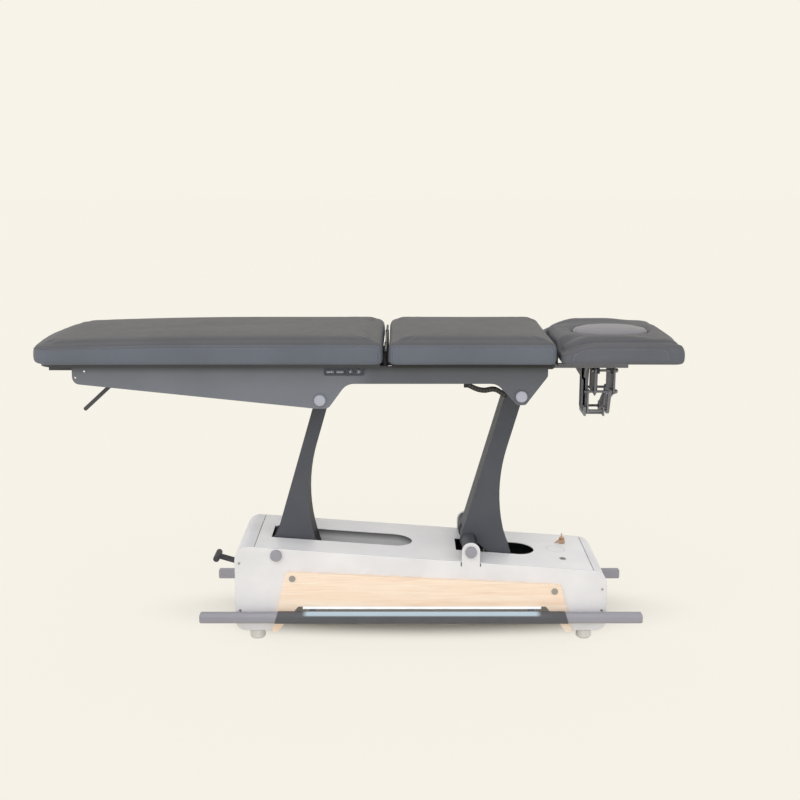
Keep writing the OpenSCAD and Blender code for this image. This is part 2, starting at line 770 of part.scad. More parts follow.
// Top frame plates with bosses at the upper pivots
end_r = 22;
boss_run = 24;
arch_run = 79;
arch_r = 45;
front_run = 73;
front_boss_half = 13;
nose_drop = 32;
nose_r = 12;
flange_w = 20;
flange_t = 3;
flange_in = 20;
pad_gap = 0.3;
plate_top = frame_top - pad_gap;
module frame_plate() {
    slab(-frame_w / 2, -frame_in) difference() {
        union() {
            polygon(rounded([
                [frame_x0, plate_top, 0],
                [frame_x0, frame_top - frame_depth, end_r],
                [rear_top[0] - boss_run / 2, rear_top[1] - boss_r, end_r],
                [rear_top[0] + boss_run, rear_top[1] - boss_r, end_r],
                [rear_top[0] + arch_run, frame_top - frame_depth, arch_r],
                [front_top[0] - front_run, frame_top - frame_depth, arch_r - over * 2],
                [front_top[0] - front_boss_half, front_top[1] - boss_r, nose_r],
                [front_top[0] + front_boss_half, front_top[1] - boss_r, nose_r],
                [frame_x1, frame_top - nose_drop, nose_r],
                [frame_x1, plate_top, 0]], 8));
            for (p = [front_top, rear_top]) translate(p) circle(r = boss_r);
        }
        for (p = [front_top, rear_top]) translate(p) circle(r = shaft_r + bore_gap);
        for (p = frame_screws_at) translate(p) circle(r = frame_screw_r);
    }
    box([mid_x0 + flange_in, -frame_in - over / 2, frame_top - flange_t],
        [frame_x1 - flange_in, -frame_in + flange_w, frame_top]);
}
frame_screw_r = 3;
frame_screw_in = 36;
frame_screw_drop = 17;
frame_screw_in2 = 9;
frame_screw_drop2 = 36;
frame_screws_at = [[frame_x0 + frame_screw_in, frame_top - frame_screw_drop],
                   [frame_x0 + frame_screw_in2, frame_top - frame_screw_drop2]];
module frame_plate_left() { color(c_frame) frame_plate(); }
module frame_plate_right() { color(c_frame) mirror([0, 1, 0]) frame_plate(); }

// Cross bars between the frame plates, the hinge brackets and the head hinge ears
bar_w = 40;
bar_wall = 3;
sub_h = 16;
pad_t = 4;
low_bar_h = 26;
leg_bar_top = frame_top - sub_h - pad_t;
mid_bar_in = 205;
hinge_bar_back = 46;
pivot_bar_run = 170;
head_bar_back = 46;
mid_bar_x = frame_x0 + mid_bar_in;
hinge_bar_x = hinge_x - hinge_bar_back;
pivot_bar_x = hinge_x + pivot_bar_run;
head_bar_x = frame_x1 - head_bar_back;
sub_y = 150;
sub_w = 25;
hinge_share = 0.573;
hinge_z = cushion_z0 + cushion_t * hinge_share;
hinge_rod_r = 3.5;
bracket_r = 5.5;
bracket_t = 6;
bracket_y = 120;
bracket_ht = 10;
hinge_pin_r = 6;
head_pivot_out = 2;
head_pivot_drop = 16;
head_pivot = [mid_x1 + head_pivot_out, frame_top - head_pivot_drop];
head_ear_r = 10;
head_ear_y = 97;
module cross_tube(x, z1, h) {
    difference() {
        box([x, -frame_in, z1 - h], [x + bar_w, frame_in, z1]);
        box([x + bar_wall, -frame_in - over, z1 - h + bar_wall], [x + bar_w - bar_wall, frame_in + over, z1 - bar_wall]);
    }
}
module frame_crossbars() {
    color(c_dark) {
        for (x = [mid_bar_x, hinge_bar_x]) {
            cross_tube(x, leg_bar_top, low_bar_h);
            both() box([x + bar_w / 4, -sub_y - sub_w, leg_bar_top],
                       [x + bar_w * 3 / 4, -sub_y, leg_bar_top + pad_t - pad_gap]);
        }
        cross_tube(pivot_bar_x, frame_top - flange_t, bar_w);
        cross_tube(head_bar_x, frame_top - flange_t, bar_w);
        both() difference() {
            slab(-head_ear_y - lug_t, -head_ear_y) union() {
                translate(head_pivot) circle(r = head_ear_r);
                translate([head_bar_x + bar_w - over, head_pivot[1] - head_ear_r])
                    square([head_pivot[0] - head_bar_x - bar_w + over, head_ear_r * 2]);
            }
            rod_y(hinge_pin_r, -base_w, 0, head_pivot);
        }
        rod_y(hinge_pin_r, -head_ear_y - lug_t, head_ear_y + lug_t, head_pivot);
        both() difference() {
            slab(-bracket_y - bracket_t, -bracket_y) union() {
                translate([hinge_x, hinge_z]) circle(r = bracket_r);
                translate([hinge_x - bracket_r, frame_top - bracket_ht])
                    square([bracket_r * 2, hinge_z - frame_top + bracket_ht]);
                translate([hinge_x - bracket_r, frame_top - bracket_ht]) square([pivot_bar_x - hinge_x + bracket_r, bracket_ht]);
            }
            rod_y(hinge_rod_r, -base_w, 0, [hinge_x, hinge_z]);
        }
        rod_y(gas_pin_r, -frame_in, frame_in, gas_anchor);
    }
}
gas_y = 84;
gas_anchor_back = 240;
gas_anchor_drop = 68;
gas_eye_back = 650;
gas_eye_drop = 31;
gas_anchor = [hinge_x - gas_anchor_back, frame_top - gas_anchor_drop];
gas_eye = [hinge_x - gas_eye_back, frame_top - gas_eye_drop];
gas_lug_r = 9;
gas_pin_r = 4;
gas_lug_t = 5;
gas_eye_half = 6;
gas_lug_gap = 1;

// Upper shafts with sleeves, and their caps
sleeve_r = 16;
upper_cap_t = 8;
upper_cap_r = 17;
module upper_shafts() {
    color(c_steel) for (p = [front_top, rear_top]) {
        rod_y(shaft_r, -frame_w / 2 - cap_socket, frame_w / 2 + cap_socket, p);
        both() difference() {
            rod_y(sleeve_r, -frame_in, -arm_w / 2 - hub_end_gap, p);
            rod_y(shaft_r, -frame_w, 0, p);
        }
    }
}
module upper_pivot_caps() {
    color(c_cap) for (p = [front_top, rear_top]) both() cap_y(frame_w / 2, upper_cap_t, p, upper_cap_r);
}

// Push button panel on the near frame plate
pad_len = 117;
pad_h = 24;
pad_depth = 6;
pad_r = 4;
key_w = 24;
key_h = 13;
key_round = 7.5;
key_gap = 0.4;
key_depth = 4;
key_travel = 0.8;
key_proud = 1.2;
keys_at_shares = [0.15, 0.4, 0.66, 0.87];
pad_run = 14;
pad_drop = 28;
pad_x0 = rear_top[0] + pad_run;
pad_z0 = frame_top - pad_drop;
function key_x(i) = pad_x0 + pad_len * keys_at_shares[i];
key_z = pad_z0 + pad_h / 2;
module square_key(g) {
    translate([-key_w / 2 - g, -key_h / 2 - g]) square([key_w + g * 2, key_h + g * 2]);
}
module keypad() {
    color(c_dark) difference() {
        slab(-frame_w / 2 - pad_depth, -frame_w / 2) polygon(rounded([
            [pad_x0, pad_z0, pad_r], [pad_x0 + pad_len, pad_z0, pad_r],
            [pad_x0 + pad_len, pad_z0 + pad_h, pad_r], [pad_x0, pad_z0 + pad_h, pad_r]]));
        for (i = [0, 1]) slab(-frame_w / 2 - pad_depth - over, -frame_w / 2 - pad_depth + key_depth)
            translate([key_x(i), key_z]) square_key(key_gap);
        for (i = [2, 3]) slab(-frame_w / 2 - pad_depth - over, -frame_w / 2 - pad_depth + key_depth)
            translate([key_x(i), key_z]) circle(r = key_round + key_gap);
    }
}
key_y0 = -frame_w / 2 - pad_depth - key_proud;
key_y1 = -frame_w / 2 - pad_depth + key_depth - key_travel - key_gap;
module button_raise() { color(c_grey) slab(key_y0, key_y1) translate([key_x(0), key_z]) square_key(0); }
module button_lower() { color(c_grey) slab(key_y0, key_y1) translate([key_x(1), key_z]) square_key(0); }
module button_round_foot() { color(c_grey) slab(key_y0, key_y1) translate([key_x(2), key_z]) circle(r = key_round); }
module button_round_head() { color(c_grey) slab(key_y0, key_y1) translate([key_x(3), key_z]) circle(r = key_round); }

// Cable chain hanging from the frame beside the front arm
chain_w = 18;
chain_gap = 6;
chain_y = arm_w / 2 + chain_gap;
chain_h = 13;
chain_pitch_r = 6.5;
chain_span = 113;
chain_drop = 31;
chain_shares = [[0, 0], [0.09, 0.16], [0.18, 0.32], [0.28, 0.45], [0.38, 0.52], [0.47, 0.53], [0.56, 0.46],
                [0.65, 0.4], [0.74, 0.44], [0.82, 0.58], [0.9, 0.78], [1, 1.02]];
chain_back = 151;
chain_up = 11;
chain_start = front_top + [-chain_back, chain_up];
function chain_at(i) = chain_start + [chain_shares[i][0] * chain_span, -chain_shares[i][1] * chain_drop];
module cable_chain() {
    color(c_black) {
        slab(-chain_y - chain_w, -chain_y) for (i = [0:len(chain_shares) - 2])
            bar_pq(chain_at(i), chain_at(i + 1), chain_pitch_r, chain_pitch_r);
        slab(-chain_y - chain_w, -chain_y) translate([chain_start[0] - chain_h, chain_start[1] - chain_h / 2])
            square([chain_h, frame_top - chain_start[1] + chain_h / 2]);
    }
}

// Boards under the cushions
board_in = 10;
module mid_board() {
    color(c_dark) box([mid_x0 + board_in, -board_w / 2, frame_top], [mid_x1 - board_in, board_w / 2, cushion_z0]);
}

// Plan outline of a cushion, drawn in by d on every side. The ends bow outwards by
// bow0 and bow1, and the long sides are drawn in towards their middle.
side_draw = 2;
corner_steps = 5;
function edge_points(a, b, pull, n) = [for (i = [1:n - 1])
    let (t = i / n, u = unit2(b - a)) a + (b - a) * t + [-u[1], u[0]] * pull * sin(180 * t)];
function plan(x0, x1, hw, r0, r1, bow0, bow1, d, n) =
    let (q0 = max(r0 - d, r0 / 4), q1 = max(r1 - d, r1 / 4), a = x0 + d, b = x1 - d, w = hw - d,
         c1 = arc2([b - q1, -w + q1], q1, -90, 0, corner_steps),
         c2 = arc2([b - q1, w - q1], q1, 0, 90, corner_steps),
         c3 = arc2([a + q0, w - q0], q0, 90, 180, corner_steps),
         c4 = arc2([a + q0, -w + q0], q0, 180, 270, corner_steps), k = corner_steps)
    concat(c1, edge_points(c1[k], c2[0], -bow1, n), c2, edge_points(c2[k], c3[0], side_draw, n), c3,
           edge_points(c3[k], c4[0], -bow0, n), c4, edge_points(c4[k], c1[0], side_draw, n));
// Side faces between the rings of a stack
function ring_faces(n, m) = [for (j = [0:m - 2], i = [0:n - 1], h = [0, 1])
    h == 0 ? [j * n + i, (j + 1) * n + i, (j + 1) * n + (i + 1) % n]
           : [j * n + i, (j + 1) * n + (i + 1) % n, j * n + (i + 1) % n]];
// Stacked rings closed by a flat cap at each end
module loft(rings) {
    n = len(rings[0]);
    m = len(rings);
    polyhedron(points = [for (r = rings) each r],
               faces = concat([[for (i = [0:n - 1]) i]], ring_faces(n, m), [[for (i = [n - 1:-1:0]) (m - 1) * n + i]]));
}
// Stacked rings whose last ring is the first one again
module loft_ring(rings) {
    n = len(rings[0]);
    m = len(rings) - 1;
    pts = [for (i = [0:m - 1]) each rings[i]];
    polyhedron(points = pts, faces = [for (f = ring_faces(n, m + 1)) [for (v = f) v % (n * m)]]);
}
// Inward distance, as a share of the shoulder, and height, as a share of the cushion
edge_shares = [[0.58, 0], [0.22, 0.03], [0.07, 0.11], [0, 0.24], [0, 0.4], [0.02, 0.56], [0.09, 0.69],
               [0.22, 0.8], [0.49, 0.89], [1, 0.96], [2, 0.99], [3.2, 1]];
function at_z(pts, z) = [for (p = pts) [p[0], p[1], z]];
foot_corner_r = 72;
cushion_corner_r = 26;
foot_bow = 14;
end_bow = -1;
side_steps = 5;
module cushion(x0, x1, r0, bow0) {
    color(c_vinyl) loft([for (e = edge_shares)
        at_z(plan(x0, x1, cushion_w / 2, r0, cushion_corner_r, bow0, end_bow, e[0] * shoulder_w, side_steps),
             cushion_z0 + e[1] * cushion_t)]);
}
module leg_cushion() { cushion(leg_x0 + foot_bow, leg_x1, foot_corner_r, foot_bow); }
module mid_cushion() { cushion(mid_x0, mid_x1, cushion_corner_r, end_bow); }

// Rod of the hinge between leg and middle sections
rod_in = 20;
module leg_hinge_rod() {
    color(c_steel) rod_y(hinge_rod_r, -cushion_w / 2 + rod_in, cushion_w / 2 - rod_in, [hinge_x, hinge_z]);
}

// Leg section frame with its board
sub_foot_in = 50;
sub_end_in = 30;
board_foot_in = 26;
board_corner_r = 60;
lever_in = 135;
lever_drop = 36;
release_pivot = [frame_x0 + lever_in, frame_top - lever_drop];
release_lug_y = 128;
module leg_subframe() {
    x0 = leg_x0 + sub_foot_in;
    x1 = leg_x1 - sub_end_in;
    color(c_dark) {
        difference() {
            union() {
                both() box([x0, -sub_y - sub_w, frame_top - sub_h], [x1, -sub_y, frame_top]);
                for (x = [x0, gas_eye[0] - sub_w / 2, release_pivot[0] - sub_w / 2, x1 - sub_w])
                    box([x, -sub_y - over, frame_top - sub_h], [x + sub_w, sub_y + over, frame_top]);
                slabs(bracket_y + bracket_t + over, bracket_y + bracket_t * 2 + over) leg_bracket(x1);
                for (s = [-1, 1]) translate([0, gas_y + s * (gas_eye_half + gas_lug_gap + gas_lug_t / 2), 0])
                    slab(-gas_lug_t / 2, gas_lug_t / 2)
                        bar_pq(gas_eye, [gas_eye[0], frame_top - sub_h / 2], gas_lug_r, gas_lug_r);
                slabs(release_lug_y, release_lug_y + gas_lug_t)
                    bar_pq(release_pivot, [release_pivot[0], frame_top - sub_h / 2], gas_lug_r, gas_lug_r);
            }
            rod_y(hinge_rod_r + bore_gap, -cushion_w, cushion_w, [hinge_x, hinge_z]);
        }
        translate([0, 0, frame_top]) linear_extrude(height = board_t) polygon(rounded([
            [leg_x0 + board_foot_in, -board_w / 2, board_corner_r], [leg_x1 - board_in, -board_w / 2, 0],
            [leg_x1 - board_in, board_w / 2, 0], [leg_x0 + board_foot_in, board_w / 2, board_corner_r]]));
        rod_y(gas_pin_r, -release_lug_y - gas_lug_t, release_lug_y + gas_lug_t, release_pivot);
        rod_y(gas_pin_r, gas_y - gas_eye_half - gas_lug_gap * 2, gas_y + gas_eye_half + gas_lug_gap * 2, gas_eye);
    }
}
module leg_bracket(x1) {
    translate([hinge_x, hinge_z]) circle(r = bracket_r);
    translate([hinge_x - bracket_r, frame_top - bracket_ht])
        square([bracket_r * 2, hinge_z - frame_top + bracket_ht]);
    translate([x1 - over, frame_top - bracket_ht]) square([hinge_x - x1 + over, bracket_ht]);
    translate([x1 - sub_w, frame_top - bracket_ht]) square([sub_w, bracket_ht]);
}

// Rod with a domed end, drawn along +Z
dome_share = 0.6;
dome_steps = 6;
function dome(r, length) = [for (i = [0:dome_steps]) let (a = 90 * i / dome_steps)
    [r * cos(a), length - r * dome_share * (1 - sin(a))]];
module domed_rod(r, length) {
    rotate_extrude() polygon(concat([[0, 0], [r, 0]], dome(r, length)));
}
module two_domed_rod(r, half) {
    low = [for (q = dome(r, half)) [q[0], -q[1]]];
    rotate_extrude() polygon(concat([for (i = [dome_steps:-1:0]) low[i]], dome(r, half)));
}

// Release handle at the foot end
handle_r = 6;
handle_len = 166;
handle_dir = 222.2;
handle_gap = 1;
module release_lever() {
    y = -release_lug_y + handle_gap + handle_r + over;
    color(c_dark) difference() {
        union() {
            rod_y(gas_lug_r, -release_lug_y + handle_gap, release_lug_y - handle_gap, release_pivot);
            translate([release_pivot[0], y, release_pivot[1]]) rotate([0, 90 - handle_dir, 0])
                translate([0, 0, handle_r]) domed_rod(handle_r, handle_len - handle_r);
        }
        rod_y(gas_pin_r + bore_gap, -cushion_w, cushion_w, release_pivot);
    }
}

// Gas spring between the frame and the leg section
gas_tube_r = 11;
gas_rod_r = 5;
gas_vec = gas_eye - gas_anchor;
gas_len = norm(gas_vec);
gas_ang = atan2(gas_vec[1], gas_vec[0]);
gas_tube_share = 0.62;
gas_bore_share = 0.2;
gas_open = 3;
gas_ring_t = 3.5;
module along_gas() {
    translate([gas_anchor[0], gas_y, gas_anchor[1]]) rotate([0, 90 - gas_ang, 0]) children();
}
module gas_spring_tube() {
    color(c_black) difference() {
        union() {
            along_gas() cylinder(r = gas_tube_r, h = gas_len * gas_tube_share);
            rod_y(gas_lug_r + over, gas_y - gas_tube_r, gas_y + gas_tube_r, gas_anchor);
        }
        rod_y(gas_pin_r + bore_gap, 0, cushion_w, gas_anchor);
        along_gas() translate([0, 0, gas_len * gas_bore_share]) cylinder(r = gas_rod_r + bore_gap, h = gas_len);
    }
}
module gas_spring_rod() {
    color(c_steel) difference() {
        union() {
            along_gas() translate([0, 0, gas_len * gas_bore_share + gas_lug_r])
                cylinder(r = gas_rod_r, h = gas_len * (1 - gas_bore_share) - gas_lug_r * 2);
            rod_y(gas_pin_r + gas_open + gas_ring_t, gas_y - gas_eye_half, gas_y + gas_eye_half, gas_eye);
        }
        rod_y(gas_pin_r + gas_open, 0, cushion_w, gas_eye);
    }
}

// Head carriage hinged to the frame, with the hanger that carries the swing links.
// The stations are distances along X from the hanger's face.
carriage_y = 86;
carriage_t = 10;
carriage_h = 14;
carriage_len = 232;
carriage_end_r = 9;
cross_x0 = 100;
cross_w = 24;
cross_x1 = 210;
hang_run = 110;
hang_x = head_pivot[0] + hang_run;
hang_t = 6;
hang_post = 20;
hang_wing = 54;
hang_wing_h = 44;
foot_half = 50;
foot_up = 14;
foot_down = 15;
tie_len = 63;
tie_h = 6;
tie_lug_t = 5;
link_y = 38.5;
link_half = 9;
link_r = 4;
low_drop = 167;
mid_drop = 107;
top_drop = 41;
low_z = frame_top - low_drop;
mid_z = frame_top - mid_drop;
top_z = frame_top - top_drop;
low_rod_len = 78;
mid_rod_len = 103;
top_rod_x0 = 22;
top_rod_x1 = 102;
low_bar_x0 = 9;
low_bar_t = 5;
slant_x0 = 68;
slant_x1 = 76;
slant_t = 9;
up_bar_x0 = 30;
up_bar_x1 = 88;
up_bar_t = 6;
plate_lug_x0 = 40;
plate_lug_x1 = 80;
plate_lug_t = 5;
plate_lug_half = 48;
plate_x0 = 58;
plate_len = 260;
plate_half = 110;
plate_t = 6;
gusset_w = 34;
gusset_h = 56;
bolt_r = 4;
bolt_head_t = 4;
bolt_in = 16;
bolt_drop = 26;

module head_carriage() {
    z0 = head_pivot[1] - carriage_h / 2;
    z1 = head_pivot[1] + carriage_h / 2;
    color(c_steel) {
        difference() {
            union() {
                both() {
                    box([head_pivot[0], -carriage_y - carriage_t, z0], [head_pivot[0] + carriage_len, -carriage_y, z1]);
                    rod_y(carriage_end_r, -carriage_y - carriage_t, -carriage_y, head_pivot);
                }
                for (x = [cross_x0, cross_x1]) translate([head_pivot[0] + x, 0, 0])
                    box([0, -carriage_y - over, z0], [cross_w, carriage_y + over, z1]);
            }
            rod_y(hinge_pin_r + bore_gap, -base_w, base_w, head_pivot);
        }
        difference() {
            union() {
                hanger_plate(z0);
                translate([hang_x, -hang_post, low_z - foot_down]) cube([tie_len, hang_post * 2, tie_h]);
                translate([hang_x + tie_len - tie_lug_t, -foot_half, low_z - foot_down])
                    cube([tie_lug_t, foot_half * 2, foot_up + foot_down]);
                slabs(hang_post - hang_t, hang_post) polygon([[hang_x + over, z0 + over], [hang_x + over, z0 - gusset_h],
                                                              [hang_x - gusset_w, z0 + over]]);
            }
            both() rod_x(link_r, hang_x - over, hang_x + tie_len + over, link_y, low_z);
            rod_y(bolt_r, -hang_wing, hang_wing, [hang_x - bolt_in, z0 - bolt_drop + gusset_w / 2]);
        }
        both() rod_x(link_r, hang_x, hang_x + low_rod_len, link_y, low_z);
        rod_y(bolt_r, -hang_post - bolt_head_t, hang_post + bolt_head_t, [hang_x - bolt_in, z0 - bolt_drop + gusset_w / 2]);
    }
}
module hanger_plate(z0) {
    translate([hang_x, 0, 0]) rotate([90, 0, 90]) linear_extrude(height = hang_t) polygon([
        [-hang_wing, z0 + over], [-hang_wing, z0 - hang_t], [-hang_post, z0 - hang_wing_h],
        [-hang_post, low_z + foot_up], [-foot_half, low_z + foot_up], [-foot_half, low_z - foot_down],
        [foot_half, low_z - foot_down], [foot_half, low_z + foot_up], [hang_post, low_z + foot_up],
        [hang_post, z0 - hang_wing_h], [hang_wing, z0 - hang_t], [hang_wing, z0 + over]]);
}

// Link between two rods at the near side, as bars with round ends
module link_bar(x, t, za, zb) {
    translate([hang_x + x, -link_y, za]) rotate([90, 0, 90]) linear_extrude(height = t)
        rotate(90) bar2(link_half, link_half, zb - za);
}
module lower_link() {
    color(c_dark) {
        difference() {
            union() {
                link_bar(low_bar_x0, low_bar_t, low_z, mid_z);
                intersection() {
                    link_bar(slant_x0, slant_x1 - slant_x0 + slant_t, low_z, mid_z);
                    slab(-link_y - link_half * 2, 0) polygon([
                        [hang_x + slant_x0, low_z - link_half * 2], [hang_x + slant_x0 + slant_t, low_z - link_half * 2],
                        [hang_x + slant_x1 + slant_t, mid_z + link_half * 2], [hang_x + slant_x1, mid_z + link_half * 2]]);
                }
            }
            rod_x(link_r + bore_gap, hang_x, hang_x + mid_rod_len, -link_y, low_z);
            rod_x(link_r, hang_x, hang_x + mid_rod_len, -link_y, mid_z);
        }
        rod_x(link_r, hang_x + over / 2, hang_x + mid_rod_len, -link_y, mid_z);
    }
}
module lower_link_near() { lower_link(); }
module lower_link_far() { mirror([0, 1, 0]) lower_link(); }
module upper_link(gap) {
    color(c_grey) {
        difference() {
            for (x = [up_bar_x0, up_bar_x1]) link_bar(x, up_bar_t, mid_z, top_z);
            rod_x(link_r + gap, hang_x, hang_x + top_rod_x1, -link_y, mid_z);
            rod_x(link_r, hang_x, hang_x + top_rod_x1, -link_y, top_z);
        }
        rod_x(link_r, hang_x + top_rod_x0, hang_x + top_rod_x1, -link_y, top_z);
    }
}
module upper_link_near() { upper_link(bore_gap); }
module upper_link_far() { mirror([0, 1, 0]) upper_link(open_gap); }

// Face recess of the head section
face_share = 0.504;
face_x = head_x0 + head_len * face_share;
recess_steps = 64;
board_hole_in = 13;
head_board_in = 20;
head_board_end = 16;
head_board_half = 165;
function oval(a, b, n) = [for (i = [0:n - 1]) [face_x + a * cos(360 * i / n), b * sin(360 * i / n)]];
module head_plate() {
    color(c_dark) {
        difference() {
            union() {
                box([hang_x - plate_x0, -plate_half, frame_top - plate_t],
                    [hang_x - plate_x0 + plate_len, plate_half, frame_top]);
                for (x = [plate_lug_x0, plate_lug_x1]) translate([hang_x + x, -plate_lug_half, top_z - link_half])
                    cube([plate_lug_t, plate_lug_half * 2, frame_top - plate_t - top_z + link_half + over]);
            }
            both() rod_x(link_r, hang_x, hang_x + top_rod_x1, -link_y, top_z);
        }
        translate([0, 0, frame_top]) linear_extrude(height = board_t) difference() {
            translate([head_x0 + head_board_in, -head_board_half])
                square([head_len - head_board_in - head_board_end, head_board_half * 2]);
            polygon(oval(face_len / 2 - board_hole_in, face_w / 2 - board_hole_in, recess_steps));
        }
    }
}

// Head cushion with side rolls, a lower middle and the oval recess
head_steps = 10;
head_edge_shares = [[0.58, 0], [0.22, 0.03], [0.07, 0.11], [0, 0.24], [0, 0.4], [0.02, 0.54], [0.09, 0.66],
                    [0.22, 0.74]];
head_in_shares = [0.1, 0.24, 0.38, 0.52, 0.68, 0.84, 0.95];
rim_share = 0.78;
plateau_share = 0.86;
roll_share = 0.09;
groove_share = 0.05;
roll_y = 197;
roll_w = 46;
groove_y = 125;
groove_w = 12;
lip_share = 0.06;
function bump(y, c, w) = exp(-pow((abs(y) - c) / w, 2));
function head_top(y) = plateau_share + roll_share * bump(y, roll_y, roll_w) - groove_share * bump(y, groove_y, groove_w);
function head_ring(d) = plan(head_x0, head_x1, cushion_w / 2, cushion_corner_r, cushion_corner_r, end_bow, 0, d, head_steps);
function to_face(p) = let (q = atan2(p[1] * 2 / cushion_w, (p[0] - face_x) * 2 / head_len))
    [face_x + face_len / 2 * cos(q), face_w / 2 * sin(q)];
module head_cushion() {
    shell = [for (e = head_edge_shares) at_z(head_ring(e[0] * shoulder_w), cushion_z0 + e[1] * cushion_t)];
    last = head_ring(head_edge_shares[len(head_edge_shares) - 1][0] * shoulder_w);
    top = [for (t = head_in_shares) [for (p = last)
        let (q = p * (1 - t) + to_face(p) * t, dip = lip_share * (bump(t, 0, 0.2) + bump(t, 1, 0.1)))
        [q[0], q[1], cushion_z0 + (head_top(q[1]) - dip) * cushion_t]]];
    rim = [for (z = [rim_share, 0]) [for (p = last) [to_face(p)[0], to_face(p)[1], cushion_z0 + z * cushion_t]]];
    color(c_vinyl) loft_ring(concat(shell, top, rim, [shell[0]]));
}

// Plug that fills the face recess
plug_gap = 1;
plug_steps = 48;
plug_rise = 0.3;
plug_shares = [[0.95, 0], [1, 0.04], [1, 0.78], [0.975, 0.86], [0.92, 0.92], [0.82, 0.97], [0.66, 1.01],
               [0.4, 1.04], [0.15, 1.05]];
module face_plug() {
    color(c_grey) loft([for (e = plug_shares) at_z(
        oval((face_len / 2 - plug_gap) * e[0], (face_w / 2 - plug_gap) * e[0], plug_steps),
        cushion_z0 + plug_rise + e[1] * (cushion_t - plug_rise))]);
}

// Foot rails with dark sleeves round their middle
rail_y = 189;
rail_drop = 13.5;
rail_cham_y = 8;
rail_cham_z = 9;
rail_end_r = 5;
sleeve_t = 1.5;
sleeve_foot_in = 238;
sleeve_head_in = 235;
sleeve_slant = 10;
rail_z1 = window_z1 - rail_drop;
rail_z0 = rail_z1 - rail_h;
rail_x0 = base_x0 - rail_foot_over;
rail_x1 = base_x1 + rail_head_over;
module rail_section(g) {
    rotate([90, 0, 90]) translate([0, 0, rail_x0]) linear_extrude(height = rail_x1 - rail_x0) polygon([
        [-rail_y, rail_z0 - g], [-rail_y - rail_w + rail_cham_y, rail_z0 - g],
        [-rail_y - rail_w - g, rail_z0 + rail_cham_z], [-rail_y - rail_w - g, rail_z1 - rail_cham_z],
        [-rail_y - rail_w + rail_cham_y, rail_z1 + g], [-rail_y, rail_z1 + g]]);
}
module foot_rail() {
    color(c_grey) difference() {
        union() {
            intersection() {
                rail_section(0);
                slab(-rail_y - rail_w, -rail_y) polygon(rounded([
                    [rail_x0, rail_z0, rail_end_r], [rail_x1, rail_z0, rail_end_r],
                    [rail_x1, rail_z1, rail_end_r], [rail_x0, rail_z1, rail_end_r]]));
            }
            for (x = rail_arms_at) {
                translate([x - rail_arm_w / 2, -rail_y - over, rail_pivot_z - rail_arm_t / 2])
                    cube([rail_arm_w, rail_y - rail_pivot_y + over, rail_arm_t]);
                rod_x(rail_boss_r, x - rail_arm_w / 2, x + rail_arm_w / 2, -rail_pivot_y, rail_pivot_z);
            }
        }
        rod_x(rail_pin_r + bore_gap, rail_x0, rail_x1, -rail_pivot_y, rail_pivot_z);
    }
}
module foot_rail_left() { foot_rail(); }
module foot_rail_right() { mirror([0, 1, 0]) foot_rail(); }
module rail_sleeve() {
    x0 = rail_x0 + sleeve_foot_in;
    x1 = rail_x1 - sleeve_head_in;
    color(c_dark) difference() {
        intersection() {
            rail_section(sleeve_t);
            slab(-rail_y - rail_w - sleeve_t, -rail_y) polygon([
                [x0 - sleeve_slant, rail_z0 - sleeve_t], [x1 + sleeve_slant, rail_z0 - sleeve_t],
                [x1, rail_z1 + sleeve_t], [x0, rail_z1 + sleeve_t]]);
        }
        rail_section(0);
    }
}
module rail_sleeve_left() { rail_sleeve(); }
module rail_sleeve_right() { mirror([0, 1, 0]) rail_sleeve(); }

// Pedal at the foot end
tee_out = 77;
tee_up = 41.5;
tee_half = 41;
tee_r = 10;
stem_rod_r = 9;
pedal_hub_r = 13;
pedal_half = 20;
pedal_tip_back = 4;
pedal_tip_drop = 40;
tip_r = 6;
tip_half = 8;
tip_gap = 3.4;
root_step = 2;
module pedal() {
    tee = [base_x0 - tee_out, pedal_pivot[1] + tee_up];
    d = tee - pedal_pivot;
    color(c_grey) {
        translate([pedal_pivot[0], 0, pedal_pivot[1]]) rotate([0, 90 - atan2(d[1], d[0]), 0])
            cylinder(r = stem_rod_r, h = norm(d));
        translate([tee[0], 0, tee[1]]) rotate([90, 0, 0]) two_domed_rod(tee_r, tee_half);
        rod_y(pedal_hub_r, -pedal_half, pedal_half, pedal_pivot);
        rod_y(pedal_pin_r, -pedal_lug_y - lug_t, pedal_lug_y + lug_t, pedal_pivot);
        slab(-tip_half, tip_half)
            bar_pq(pedal_pivot, pedal_pivot - [pedal_tip_back, pedal_tip_drop],
                   pedal_hub_r - root_step, tip_r);
    }
}

